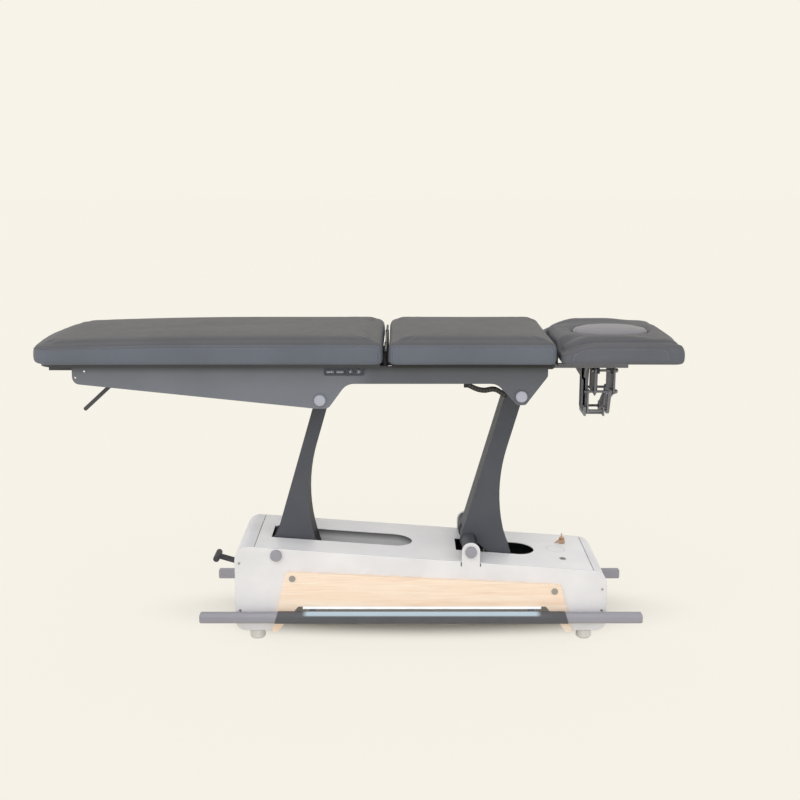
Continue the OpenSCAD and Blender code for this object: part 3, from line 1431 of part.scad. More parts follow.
// Carrier that lowers the transport wheels
carrier_half = 56;
axle_r = 5;
axle_out = 86;
axle_boss_r = 9;
module wheel_carrier() {
    tip = pedal_pivot + [tip_r * 2 + tip_gap - pedal_tip_back, -pedal_tip_drop];
    color(c_steel) {
        rod_y(carrier_tube_r, -carrier_half, carrier_half, carrier_pivot);
        slab(-tip_half, tip_half) bar_pq(carrier_pivot, tip, carrier_tube_r - root_step, tip_r);
        slabs(carrier_arm_y, carrier_arm_y + carrier_arm_t)
            bar_pq(carrier_pivot, axle_at, carrier_tube_r + root_step, axle_boss_r);
        both() rod_y(axle_r, -axle_out, -carrier_arm_y, axle_at);
    }
}
wheel_hub_r = 12;
wheel_web = 5;
wheel_rim = 7;
wheel_edge = 3;
module wheel() {
    w = wheel_y1 - wheel_y0;
    translate([axle_at[0], -wheel_y0, axle_at[1]]) rotate([90, 0, 0]) rotate_extrude() polygon([
        [axle_r + bore_gap, 0], [wheel_hub_r, 0], [wheel_hub_r, w / 2 - wheel_web / 2],
        [wheel_r - wheel_rim, w / 2 - wheel_web / 2], [wheel_r - wheel_rim, 0], [wheel_r - wheel_edge, 0],
        [wheel_r, wheel_edge], [wheel_r, w - wheel_edge], [wheel_r - wheel_edge, w], [wheel_r - wheel_rim, w],
        [wheel_r - wheel_rim, w / 2 + wheel_web / 2], [wheel_hub_r, w / 2 + wheel_web / 2],
        [wheel_hub_r, w], [axle_r + bore_gap, w]]);
}
module wheel_left() { color(c_black) wheel(); }
module wheel_right() { color(c_black) mirror([0, 1, 0]) wheel(); }

side_plate_left();
side_plate_right();
top_cover();
end_cover_foot();
end_cover_head();
chassis_left();
chassis_right();
floor_pan();
wood_panel_left();
wood_panel_right();
wood_panel_screws();
casing_screws();
levelling_feet();
foot_stems();
light_bars();
lower_shafts();
lower_pivot_caps();
control_box();
cover_lock();
lock_key();
stop_button();
actuator_body();
actuator_rod();
rear_arm();
front_arm();
frame_plate_left();
frame_plate_right();
frame_crossbars();
upper_shafts();
upper_pivot_caps();
keypad();
button_raise();
button_lower();
button_round_foot();
button_round_head();
cable_chain();
mid_board();
mid_cushion();
leg_hinge_rod();
leg_subframe();
leg_cushion();
release_lever();
gas_spring_tube();
gas_spring_rod();
head_carriage();
lower_link_near();
lower_link_far();
upper_link_near();
upper_link_far();
head_plate();
head_cushion();
face_plug();
foot_rail_left();
foot_rail_right();
rail_sleeve_left();
rail_sleeve_right();
pedal();
wheel_carrier();
wheel_left();
wheel_right();
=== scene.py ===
"""Looks of the treatment table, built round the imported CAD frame.

The camera, stage and lamps come first, then the procedural finishes, then the upholstery, which
replaces the plain CAD cushions, and the small details. Lengths are in metres, and in millimetres
where a comment says so; X runs along the table from the foot end to the head end, Y across it, Z up.
"""
import json
import math

import bpy
import numpy as np
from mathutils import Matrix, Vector
from mathutils.bvhtree import BVHTree
from mathutils.kdtree import KDTree


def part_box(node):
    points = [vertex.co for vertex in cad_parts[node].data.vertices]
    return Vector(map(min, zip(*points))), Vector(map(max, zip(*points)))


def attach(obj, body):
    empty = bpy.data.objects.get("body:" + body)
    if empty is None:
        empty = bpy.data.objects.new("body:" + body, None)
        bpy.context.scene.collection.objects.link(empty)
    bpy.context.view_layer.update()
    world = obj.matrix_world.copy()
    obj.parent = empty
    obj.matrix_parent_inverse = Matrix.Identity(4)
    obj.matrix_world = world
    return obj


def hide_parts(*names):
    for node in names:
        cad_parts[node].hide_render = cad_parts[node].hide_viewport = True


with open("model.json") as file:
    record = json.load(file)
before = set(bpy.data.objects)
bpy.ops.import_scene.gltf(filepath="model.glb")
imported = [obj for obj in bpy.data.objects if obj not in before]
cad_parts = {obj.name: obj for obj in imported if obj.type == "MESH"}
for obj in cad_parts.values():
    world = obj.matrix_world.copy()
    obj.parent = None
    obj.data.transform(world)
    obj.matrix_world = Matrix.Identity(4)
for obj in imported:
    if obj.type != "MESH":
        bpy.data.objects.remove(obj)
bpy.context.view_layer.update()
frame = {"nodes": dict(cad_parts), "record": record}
scene = bpy.context.scene
scene.view_settings.view_transform = "Standard"
MM = 0.001
WHITE = (255, 255, 255)

# Camera, stage and lamps

# The pitch is in degrees below level, and the lens in millimetres
CAMERA_AT = (0.136, -3.647, 1.480)
CAMERA_PITCH = 11.68
CAMERA_LENS = 53.73
CAMERA_SHIFT = -0.0021
CAMERA_REACH = 200
PAPER = (247, 243, 232)
FLOOR_HALF = 40.0
HORIZON_LEVEL = 1.25
ZENITH_LEVEL = 0.5
SUN_LEVEL = 0.85
SUN_SPREAD = 60
SUN_TILT = (40, 0, -20)
# The floor keeps its whole shadow up to half of SHADOW_REACH from SHADOW_AT, and SHADOW_KEPT beyond
SHADOW_KEPT = 0.12
SHADOW_AT = (0.2, 0.09, 0)
SHADOW_REACH = (1.0, 0.27, 1)
SHADOW_FULL = 0.5


def linear(colour):
    """A colour written as it looks on screen, 0 to 255, as the linear RGBA that a shader takes."""
    shares = [c / 255 for c in colour]
    return [s / 12.92 if s <= 0.04045 else ((s + 0.055) / 1.055) ** 2.4 for s in shares] + [1.0]


def add_node(nodes, kind, **inputs):
    """A new shader node of a kind, with some of its inputs set."""
    node = nodes.new("ShaderNode" + kind)
    for name, value in inputs.items():
        node.inputs[name.replace("_", " ")].default_value = value
    return node


def mix_shaders(nodes, links, factor, first, second, end):
    """Leads the mix of two shaders to the output node named end."""
    mix = nodes.new("ShaderNodeMixShader")
    for socket, output in zip(mix.inputs, (factor, first.outputs[0], second.outputs[0])):
        links.new(output, socket)
    links.new(mix.outputs[0], nodes[end].inputs["Surface"])


def make_camera():
    data = bpy.data.cameras.new("camera")
    data.lens = CAMERA_LENS
    data.shift_x = CAMERA_SHIFT
    data.clip_end = CAMERA_REACH
    camera = bpy.data.objects.new("camera", data)
    camera.location = CAMERA_AT
    camera.rotation_euler = (math.radians(90 - CAMERA_PITCH), 0, 0)
    scene.collection.objects.link(camera)
    scene.camera = camera


def seen_directly(nodes, links):
    """Light Path's camera, glossy and transmission rays as one factor, at most 1."""
    path = nodes.new("ShaderNodeLightPath")
    total = path.outputs["Is Camera Ray"]
    for ray in ("Is Glossy Ray", "Is Transmission Ray"):
        add = nodes.new("ShaderNodeMath")
        add.operation = "ADD"
        add.use_clamp = True
        links.new(total, add.inputs[0])
        links.new(path.outputs[ray], add.inputs[1])
        total = add.outputs[0]
    return total


def make_world():
    """White studio light, brighter from the sides than from above, seen as plain paper."""
    world = bpy.data.worlds.new("studio")
    world.use_nodes = True
    nodes, links = world.node_tree.nodes, world.node_tree.links
    light = nodes["Background"]
    light.inputs["Color"].default_value = (1, 1, 1, 1)
    way = nodes.new("ShaderNodeSeparateXYZ")
    links.new(nodes.new("ShaderNodeTexCoord").outputs["Generated"], way.inputs[0])
    level = add_node(nodes, "MapRange", To_Min=HORIZON_LEVEL, To_Max=ZENITH_LEVEL)
    links.new(way.outputs["Z"], level.inputs["Value"])
    links.new(level.outputs[0], light.inputs["Strength"])
    paper = add_node(nodes, "Background", Color=linear(PAPER))
    mix_shaders(nodes, links, seen_directly(nodes, links), light, paper, "World Output")
    scene.world = world


def make_floor():
    """A wide floor that looks like the paper behind it and darkens only close to the base."""
    corners = [(x * FLOOR_HALF, y * FLOOR_HALF, 0) for x, y in ((-1, -1), (1, -1), (1, 1), (-1, 1))]
    mesh = bpy.data.meshes.new("floor")
    mesh.from_pydata(corners, [], [(0, 1, 2, 3)])
    floor = bpy.data.objects.new("floor", mesh)
    scene.collection.objects.link(floor)
    material = bpy.data.materials.new("paper")
    material.use_nodes = True
    nodes, links = material.node_tree.nodes, material.node_tree.links
    nodes.remove(nodes["Principled BSDF"])
    diffuse = add_node(nodes, "BsdfDiffuse", Color=linear(PAPER))
    glow = add_node(nodes, "Emission", Color=linear(PAPER))
    place = add_node(nodes, "Mapping", Location=SHADOW_AT, Scale=SHADOW_REACH)
    place.vector_type = "TEXTURE"
    links.new(nodes.new("ShaderNodeTexCoord").outputs["Object"], place.inputs["Vector"])
    near = nodes.new("ShaderNodeTexGradient")
    near.gradient_type = "SPHERICAL"
    links.new(place.outputs[0], near.inputs["Vector"])
    lifted = add_node(nodes, "MapRange", From_Max=SHADOW_FULL, To_Min=1 - SHADOW_KEPT, To_Max=0)
    lifted.interpolation_type = "SMOOTHSTEP"
    links.new(near.outputs["Fac"], lifted.inputs["Value"])
    share = nodes.new("ShaderNodeMath")
    share.operation = "MULTIPLY"
    links.new(seen_directly(nodes, links), share.inputs[0])
    links.new(lifted.outputs[0], share.inputs[1])
    mix_shaders(nodes, links, share.outputs[0], diffuse, glow, "Material Output")
    mesh.materials.append(material)


def make_sun():
    data = bpy.data.lights.new("softbox", "SUN")
    data.energy = SUN_LEVEL
    data.angle = math.radians(SUN_SPREAD)
    sun = bpy.data.objects.new("softbox", data)
    sun.rotation_euler = [math.radians(a) for a in SUN_TILT]
    scene.collection.objects.link(sun)


# Finishes

# Colour sockets of a Mix node
MIX_A, MIX_B, MIX_RESULT = 6, 7, 2
BEVEL_SAMPLES = 4
# Noise levels between which a tone goes from its darker to its lighter shade
TONE_FROM, TONE_TO = 0.3, 0.7


def shade(colour, by):
    return tuple(min(255, max(0, c * by)) for c in colour)


class Finish:
    """A procedural material in the making. Its textures read the piece's own place, in metres."""

    def __init__(self, name, rough, metallic=0.0, **sockets):
        self.material = bpy.data.materials.new(name)
        self.material.use_nodes = True
        self.nodes = self.material.node_tree.nodes
        self.links = self.material.node_tree.links
        self.shader = self.nodes["Principled BSDF"]
        self.place = self.nodes.new("ShaderNodeTexCoord").outputs["Object"]
        self.normal = None
        self.shader.inputs["Roughness"].default_value = rough
        self.shader.inputs["Metallic"].default_value = metallic
        for socket, value in sockets.items():
            self.shader.inputs[socket.replace("_", " ")].default_value = value

    def feed(self, socket, value):
        """Links an output to a socket, or sets the socket to a plain value."""
        if isinstance(value, bpy.types.NodeSocket):
            self.links.new(value, socket)
        else:
            socket.default_value = value

    def stretched(self, scale):
        """The place scaled by a factor along each axis."""
        mapping = add_node(self.nodes, "Mapping", Scale=scale)
        self.links.new(self.place, mapping.inputs["Vector"])
        return mapping.outputs[0]

    def noise(self, scale, detail, place=None, warp=0.0):
        node = add_node(self.nodes, "TexNoise", Scale=scale, Detail=detail, Distortion=warp)
        self.links.new(place or self.place, node.inputs["Vector"])
        return node.outputs[0]

    def cells(self, scale):
        node = add_node(self.nodes, "TexVoronoi", Scale=scale)
        node.feature = "SMOOTH_F1"
        self.links.new(self.place, node.inputs["Vector"])
        return node.outputs["Distance"]

    def ramp(self, factor, stops):
        """Colours along the factor: stops are (position, colour as it looks on screen)."""
        node = self.nodes.new("ShaderNodeValToRGB")
        while len(node.color_ramp.elements) < len(stops):
            node.color_ramp.elements.new(0.5)
        for element, (position, colour) in zip(node.color_ramp.elements, stops):
            element.position = position
            element.color = linear(colour)
        self.links.new(factor, node.inputs["Fac"])
        return node.outputs["Color"]

    def toned(self, noise, colour, low, high):
        """The colour, low times as bright where the noise is weak and high times where it's strong."""
        return self.ramp(noise, ((TONE_FROM, shade(colour, low)), (TONE_TO, shade(colour, high))))

    def colour(self, source):
        self.links.new(source, self.shader.inputs["Base Color"])

    def mix(self, factor, a, b, blend="MIX"):
        """Two colours blended by a factor; each of the three is an output or a plain value."""
        node = self.nodes.new("ShaderNodeMix")
        node.data_type = "RGBA"
        node.blend_type = blend
        self.feed(node.inputs["Factor"], factor)
        self.feed(node.inputs[MIX_A], a)
        self.feed(node.inputs[MIX_B], b)
        return node.outputs[MIX_RESULT]

    def axes(self, vector):
        node = self.nodes.new("ShaderNodeSeparateXYZ")
        self.links.new(vector, node.inputs[0])
        return node.outputs

    def facing(self):
        return self.axes(self.nodes.new("ShaderNodeNewGeometry").outputs["Normal"])

    def rise(self, value, low, high):
        """A factor that goes smoothly from 0 at low to 1 at high, whichever of the two is larger."""
        node = add_node(self.nodes, "MapRange", From_Min=low, From_Max=high)
        node.interpolation_type = "SMOOTHSTEP"
        self.links.new(value, node.inputs["Value"])
        return node.outputs[0]

    def math(self, operation, *values):
        """A math node on outputs and plain numbers."""
        node = self.nodes.new("ShaderNodeMath")
        node.operation = operation
        for socket, value in zip(node.inputs, values):
            self.feed(socket, value)
        return node.outputs[0]

    def greyed(self, base, factor, stops):
        """The base colour multiplied by a grey; stops are (factor, grey as it looks on screen)."""
        greys = self.ramp(factor, [(at, (grey, grey, grey)) for at, grey in stops])
        return self.mix(1.0, base, greys, "MULTIPLY")

    def roughness(self, factor, rough, spread):
        """Roughness along the factor, from rough + spread[0] to rough + spread[1]."""
        node = add_node(self.nodes, "MapRange", To_Min=rough + spread[0], To_Max=rough + spread[1])
        self.links.new(factor, node.inputs["Value"])
        self.links.new(node.outputs[0], self.shader.inputs["Roughness"])

    def soften(self, radius):
        """Rounds hard edges in the shading."""
        node = add_node(self.nodes, "Bevel", Radius=radius)
        node.samples = BEVEL_SAMPLES
        self.normal = node.outputs[0]

    def bump(self, height, depth):
        node = add_node(self.nodes, "Bump", Distance=depth)
        self.links.new(height, node.inputs["Height"])
        if self.normal is not None:
            self.links.new(self.normal, node.inputs["Normal"])
        self.normal = node.outputs[0]

    def done(self):
        if self.normal is not None:
            self.links.new(self.normal, self.shader.inputs["Normal"])
        return self.material


# Noises of the finishes are (scale per metre, detail); TONE changes colour, WEAR changes roughness
PAINT_TONE, PAINT_WEAR, PAINT_PEEL = (7, 4), (60, 3), (1100, 2)
PAINT_SPREAD = (-0.05, 0.07)
METAL_MARKS, METAL_WEAR = (900, 4), (40, 4)
METAL_SPREAD, METAL_EDGE = (-0.06, 0.1), 0.4 * MM
MOULD_TONE, MOULD_WEAR, MOULD_CELLS = (14, 4), (120, 3), 1400
MOULD_SPREAD, MOULD_EDGE = (-0.05, 0.06), 0.5 * MM
MOULD_SHADES = (0.94, 1.05)


def painted(name, colour, rough, painted_light=None, grain=0.03 * MM, spread=0.03, edge=0.8 * MM, **sockets):
    """Satin paint with a fine orange peel, slightly uneven in tone; an optional function given after rough
    paints shade or highlights into its colour by place.
    """
    finish = Finish(name, rough, **sockets)
    finish.soften(edge)
    base = finish.toned(finish.noise(*PAINT_TONE), colour, 1 - spread, 1 + spread)
    finish.colour(painted_light(finish, base) if painted_light else base)
    finish.roughness(finish.noise(*PAINT_WEAR), rough, PAINT_SPREAD)
    finish.bump(finish.noise(*PAINT_PEEL), grain)
    return finish.done()


def metal(name, colour, rough, along=(1, 1, 1), grain=0.02 * MM, spread=0.06):
    """Bare metal with fine marks drawn out along the axis whose factor is smallest."""
    finish = Finish(name, rough, metallic=1.0)
    finish.soften(METAL_EDGE)
    marks = finish.noise(*METAL_MARKS, finish.stretched(along))
    finish.colour(finish.toned(marks, colour, 1 - spread, 1 + spread))
    finish.roughness(finish.noise(*METAL_WEAR), rough, METAL_SPREAD)
    finish.bump(marks, grain)
    return finish.done()


def moulded(name, colour, rough, grain=0.05 * MM, **sockets):
    """Moulded plastic or rubber with a fine even texture."""
    finish = Finish(name, rough, **sockets)
    finish.soften(MOULD_EDGE)
    finish.colour(finish.toned(finish.noise(*MOULD_TONE), colour, *MOULD_SHADES))
    finish.roughness(finish.noise(*MOULD_WEAR), rough, MOULD_SPREAD)
    finish.bump(finish.cells(MOULD_CELLS), grain)
    return finish.done()


# Side and top colours of the vinyl; they differ by painted light, for the light that falls on the sides and
# the top
VINYL_SIDE = (107, 112, 122)
VINYL_TOP = (99, 99, 102)
VINYL_TONE, VINYL_WARP, VINYL_WEAR = (4.5, 5), 0.4, (26, 4)
VINYL_SPREAD, VINYL_SHINE = (-0.06, 0.08), 0.12
SIDE_LIGHT_SHADES, TOP_LIGHT_SHADES = (0.965, 1.035), (0.97, 1.03)
# Painted light: the vinyl takes its top colour where it faces up; the normal's Z where the top colour begins
# and where it's full
TOP_LIGHT_TURN = (0.2, 0.75)
PEBBLE_STOPS = ((0.0, WHITE), (0.75, (222, 222, 224)))
PEBBLE_SHARE = 0.55
CREASE, CREASE_DEPTH, VINYL_FINE = (9, 2), 0.9 * MM, (380, 3)


def vinyl(name, side, top, rough=0.5, pebble=1.1 * MM, depth=0.09 * MM):
    """Upholstery vinyl: pebbled grain over slow, slight unevenness of tone, with painted light: faces turned
    up take the top colour.
    """
    finish = Finish(name, rough, Specular_IOR_Level=VINYL_SHINE)
    tone = finish.noise(*VINYL_TONE, warp=VINYL_WARP)
    side_painted_light = finish.toned(tone, side, *SIDE_LIGHT_SHADES)
    top_painted_light = finish.toned(tone, top, *TOP_LIGHT_SHADES)
    base = finish.mix(finish.rise(finish.facing()["Z"], *TOP_LIGHT_TURN), side_painted_light, top_painted_light)
    grain = finish.cells(1 / pebble)
    finish.colour(finish.mix(PEBBLE_SHARE, base, finish.ramp(grain, PEBBLE_STOPS), "MULTIPLY"))
    finish.roughness(finish.noise(*VINYL_WEAR), rough, VINYL_SPREAD)
    finish.bump(finish.noise(*CREASE), CREASE_DEPTH)
    finish.bump(finish.noise(*VINYL_FINE), depth)
    finish.bump(grain, depth)
    return finish.done()


WOOD_ROUGH, WOOD_SPREAD = 0.42, (-0.06, 0.08)
WOOD_EDGE, WOOD_DEPTH = 1.0 * MM, 0.05 * MM
# The figure is the broad pattern and the lines are the fine grain: detail, warp, stretch and colours
FIGURE_DETAIL, FIGURE_WARP, FIGURE_STRETCH = 6, 1.3, (1.6, 34, 34)
FIGURE_STOPS = ((0.25, (243, 214, 186)), (0.5, (253, 231, 209)), (0.78, (255, 240, 222)))
LINES_DETAIL, LINES_WARP, LINES_STRETCH = 4, 0.4, (9, 420, 420)
LINES_STOPS = ((0.3, (206, 172, 136)), (0.55, WHITE))
LINES_SHARE = 0.24


def wood_grain(name):
    """Pale lacquered wood with fine grain along X."""
    finish = Finish(name, WOOD_ROUGH, Coat_Weight=0.15, Coat_Roughness=0.25)
    finish.soften(WOOD_EDGE)
    figure = finish.noise(1.0, FIGURE_DETAIL, finish.stretched(FIGURE_STRETCH), FIGURE_WARP)
    broad = finish.ramp(figure, FIGURE_STOPS)
    fine = finish.noise(1.0, LINES_DETAIL, finish.stretched(LINES_STRETCH), LINES_WARP)
    finish.colour(finish.mix(LINES_SHARE, broad, finish.ramp(fine, LINES_STOPS), "MULTIPLY"))
    finish.roughness(fine, WOOD_ROUGH, WOOD_SPREAD)
    finish.bump(fine, WOOD_DEPTH)
    return finish.done()


LAMP_ROUGH, LAMP_TONE, LAMP_SHADES = 0.4, (30, 2), (0.97, 1.03)


def glowing(name, colour, face, down):
    """A light strip that shines mostly from its underside; face and down are the two strengths."""
    finish = Finish(name, LAMP_ROUGH)
    source = finish.toned(finish.noise(*LAMP_TONE), colour, *LAMP_SHADES)
    finish.colour(source)
    finish.links.new(source, finish.shader.inputs["Emission Color"])
    strength = add_node(finish.nodes, "MapRange", From_Min=0, From_Max=-1, To_Min=face, To_Max=down)
    finish.links.new(finish.facing()["Z"], strength.inputs["Value"])
    finish.links.new(strength.outputs[0], finish.shader.inputs["Emission Strength"])
    return finish.done()


# Where the painted glow of the light strip lies on a rail sleeve, and how softly each edge of it fades
GLOW_X = (-172 * MM, 566 * MM)
GLOW_Y = (191 * MM, 212 * MM)
GLOW_FADE, GLOW_INNER, GLOW_OUTER = 22 * MM, 3 * MM, 2 * MM
GLOW_TURN = (0.15, 0.3)
GRIP_ROUGH, GRIP_GRAIN = 0.6, 0.08 * MM
# Painted shade on the sleeve's inner side: (factor, grey that multiplies the rubber)
GRIP_SHADE_STOPS = ((0, 255), (1, 150))


def grip_painted_glow_and_shade(name, colour, glow, level):
    """Rubber of the rail sleeves, with a painted glow of the light strip along the outer half of the top and
    painted shade on its inner side.
    """
    finish = Finish(name, GRIP_ROUGH)
    x, y, _ = finish.axes(finish.place)
    base = finish.toned(finish.noise(*MOULD_TONE), colour, *MOULD_SHADES)
    out = finish.math("ABSOLUTE", y)
    finish.colour(finish.greyed(base, finish.rise(out, GLOW_Y[0], GLOW_Y[0] - GLOW_INNER), GRIP_SHADE_STOPS))
    along = finish.math("MULTIPLY", finish.rise(x, GLOW_X[0], GLOW_X[0] + GLOW_FADE),
                        finish.rise(x, GLOW_X[1], GLOW_X[1] - GLOW_FADE))
    across = finish.math("MULTIPLY", finish.rise(out, GLOW_Y[0], GLOW_Y[0] + GLOW_INNER),
                         finish.rise(out, GLOW_Y[1] + GLOW_OUTER, GLOW_Y[1] - GLOW_OUTER))
    above = finish.rise(finish.facing()["Z"], *GLOW_TURN)
    share = finish.math("MULTIPLY", finish.math("MULTIPLY", along, across), above)
    finish.shader.inputs["Emission Color"].default_value = linear(glow)
    finish.links.new(finish.math("MULTIPLY", share, level), finish.shader.inputs["Emission Strength"])
    finish.roughness(finish.noise(*MOULD_WEAR), GRIP_ROUGH, MOULD_SPREAD)
    finish.bump(finish.cells(MOULD_CELLS), GRIP_GRAIN)
    return finish.done()


# Painted shade and highlights by place. Their stops are (factor, grey that multiplies the paint)
# Painted shade on the frame: down from FRAME_TOP over FRAME_SHADOW under the cushions, and along X past the
# leg hinge
FRAME_TOP, FRAME_SHADOW = 868 * MM, 26 * MM
HINGE_SHADE = (-20 * MM, 120 * MM)
UNDER_CUSHION_SHADE_STOPS = ((0, 255), (1, 168))
PAST_HINGE_SHADE_STOPS = ((0, 255), (0.5, 214), (1, 208))
# Painted shade on the arms, by the X of the normal
ARM_SHADE_STOPS = ((0.04, 245), (0.3, 255), (0.7, 255), (0.96, 110))
COVER_START, COVER_SLOPE = (-248 * MM, 297 * MM), 0.0731
WELL_HALF, WELL_DEPTH = 72 * MM, 50 * MM
# Painted shade in the cover's slots, by depth below the cover
WELL_SHADE_STOPS = ((0.02, 255), (0.05, 92), (0.22, 150), (0.5, 232), (1, 250))
# Painted highlight: an edge turns up to the cover where its rounded normal's Z lies between these, each faded
HIGHLIGHT_TURN, HIGHLIGHT_TOP = (0.12, 0.35), (0.999, 0.98)


def frame_painted_shade(finish, base):
    """Frame paint with painted shade, darker close under the cushions and past the leg hinge."""
    x, _, z = finish.axes(finish.place)
    base = finish.greyed(base, finish.rise(z, FRAME_TOP - FRAME_SHADOW, FRAME_TOP), UNDER_CUSHION_SHADE_STOPS)
    return finish.greyed(base, finish.rise(x, *HINGE_SHADE), PAST_HINGE_SHADE_STOPS)


def arm_painted_shade(finish, base):
    """Arm paint with painted shade, darker on the faces across the arm's length."""
    return finish.greyed(base, finish.math("MULTIPLY_ADD", finish.facing()["X"], 0.5, 0.5), ARM_SHADE_STOPS)


def well_painted_shade(finish, base):
    """Cover paint with painted shade, darkest just inside the rims of its slots."""
    x, y, z = finish.axes(finish.place)
    line = finish.math("MULTIPLY_ADD", x, COVER_SLOPE, z)
    depth = finish.math("SUBTRACT", COVER_START[1] + COVER_SLOPE * COVER_START[0], line)
    inside = finish.math("LESS_THAN", finish.math("ABSOLUTE", y), WELL_HALF)
    deep = finish.math("MULTIPLY", finish.math("MULTIPLY", depth, inside), 1 / WELL_DEPTH)
    return finish.greyed(base, deep, WELL_SHADE_STOPS)


def edge_painted_highlight(finish, base):
    """White paint with a painted highlight on the edges that turn up to the cover."""
    tilt = finish.axes(finish.normal)["Z"]
    edge = finish.math("MULTIPLY", finish.rise(tilt, *HIGHLIGHT_TURN), finish.rise(tilt, *HIGHLIGHT_TOP))
    return finish.mix(edge, base, linear(WHITE))


FINISHES = {
    "white_shell": painted("white_shell", (237, 236, 239), 0.42),
    "dark_metal": painted("dark_metal", (70, 72, 76), 0.45),
    "steel": metal("steel", (172, 168, 166), 0.38),
    "chrome": metal("chrome", (208, 208, 212), 0.14, grain=0.004 * MM),
    "aluminium": metal("aluminium", (176, 174, 174), 0.4, along=(1, 1, 0.06)),
    "wood": wood_grain("wood"),
    "feet": moulded("feet", (222, 220, 216), 0.5, Subsurface_Weight=0.2,
                    Subsurface_Radius=(10 * MM, 10 * MM, 10 * MM)),
    "light": glowing("light", (236, 240, 242), 0.35, 0.4),
    "caps": painted("caps", (176, 179, 192), 0.36),
    "black_plastic": moulded("black_plastic", (40, 40, 43), 0.5),
    "grey_plastic": moulded("grey_plastic", (132, 132, 138), 0.45),
    "brass": metal("brass", (206, 168, 138), 0.34),
    # The frame paint carries painted shade under the cushions and past the hinge
    "frame_paint": painted("frame_paint", (117, 121, 130), 0.4, frame_painted_shade),
    # The arm paint carries painted shade on the faces across the arm's length
    "arm_paint": painted("arm_paint", (86, 88, 94), 0.5, arm_painted_shade, Specular_IOR_Level=0.1),
    "pedal_paint": painted("pedal_paint", (72, 71, 76), 0.5, Specular_IOR_Level=0.15),
    # The vinyl finishes take a side and a top colour that differ by painted light
    "upholstery": vinyl("upholstery", VINYL_SIDE, VINYL_TOP),
    "plug_cloth": vinyl("plug_cloth", (156, 154, 158), (154, 152, 155), 0.46, 0.8 * MM, 0.05 * MM),
    "rail_metal": painted("rail_metal", (152, 151, 160), 0.4),
    # The rail grip carries a painted glow of the light strip and painted shade on its inner side
    "rail_grip": grip_painted_glow_and_shade("rail_grip", (84, 85, 90), (205, 228, 240), 0.62),
    "tyre": moulded("tyre", (38, 38, 40), 0.7),
}


KEY_FACE = moulded("key_face", (78, 80, 92), 0.5)
LINK_PAINT = painted("link_paint", (122, 122, 127), 0.42)
# The side plates take a darker copy of the white shell paint, painted shade, with a painted highlight on
# their top edges
SIDE_SHADE_AND_HIGHLIGHT = painted("side_shade_and_highlight", (230, 229, 231), 0.42, edge_painted_highlight, edge=3.2 * MM)
NODE_FINISHES = {
    "leg_hinge_rod": painted("hinge_paint", (66, 68, 74), 0.45),
    # The cover takes a lighter copy of the white shell paint, painted light, with painted shade in its slots
    "top_cover": painted("cover_painted_light_and_shade", (252, 250, 253), 0.42, well_painted_shade),
    "side_plate_left": SIDE_SHADE_AND_HIGHLIGHT, "side_plate_right": SIDE_SHADE_AND_HIGHLIGHT,
    "lower_pivot_caps": painted("lower_caps", (154, 152, 161), 0.36),
    "head_carriage": LINK_PAINT,
    "keypad": moulded("keypad_face", (68, 70, 82), 0.5),
    "button_raise": KEY_FACE, "button_lower": KEY_FACE,
    "button_round_foot": KEY_FACE, "button_round_head": KEY_FACE,
    "lower_link_near": LINK_PAINT, "lower_link_far": LINK_PAINT,
    "upper_link_near": LINK_PAINT, "upper_link_far": LINK_PAINT,
}


def dress_frame():
    """Gives every CAD node its own finish, or else the one of its slot in the record."""
    for part in frame["record"]["subparts"]:
        mesh = frame["nodes"][part["node"]].data
        mesh.materials.clear()
        mesh.materials.append(NODE_FINISHES.get(part["node"]) or FINISHES[part["material_slot"]])


# Mesh tools


def new_piece(name, points, faces, material, smooth=True):
    mesh = bpy.data.meshes.new(name)
    mesh.from_pydata([tuple(p) for p in points], [], faces)
    mesh.update()
    if smooth:
        mesh.shade_smooth()
    piece = bpy.data.objects.new(name, mesh)
    scene.collection.objects.link(piece)
    mesh.materials.append(material)
    return piece


def stacked(rings, loop=False):
    """Points and faces of a stack of equal rings, capped at both ends or closed on itself."""
    count, levels = len(rings[0]), len(rings)
    points = np.concatenate(rings)
    faces = []
    for j in range(levels if loop else levels - 1):
        low, high = j * count, (j + 1) % levels * count
        for i in range(count):
            k = (i + 1) % count
            faces.append((low + i, low + k, high + k, high + i))
    if not loop:
        faces.append(tuple(range(count - 1, -1, -1)))
        faces.append(tuple(range((levels - 1) * count, levels * count)))
    return points, faces


def apply_modifiers(piece):
    graph = bpy.context.evaluated_depsgraph_get()
    mesh = bpy.data.meshes.new_from_object(piece.evaluated_get(graph))
    piece.modifiers.clear()
    piece.data = mesh
    mesh.shade_smooth()


def as_array(items, field):
    """A field of three numbers, such as co, of all vertices or normals."""
    values = np.zeros(len(items) * 3, np.float32)
    items.foreach_get(field, values)
    return values.reshape(-1, 3).astype(float)


def points_and_normals(mesh):
    return as_array(mesh.vertices, "co"), as_array(mesh.vertex_normals, "vector")


def set_points(mesh, points):
    mesh.vertices.foreach_set("co", np.asarray(points, np.float32).ravel())
    mesh.update()


def smoothed(t):
    t = np.clip(t, 0, 1)
    return t * t * (3 - 2 * t)


def circle(steps, start=0):
    """Angles in radians, evenly round a circle from a start in degrees."""
    return np.radians(np.arange(steps) * 360 / steps + start)


# Cushion forms

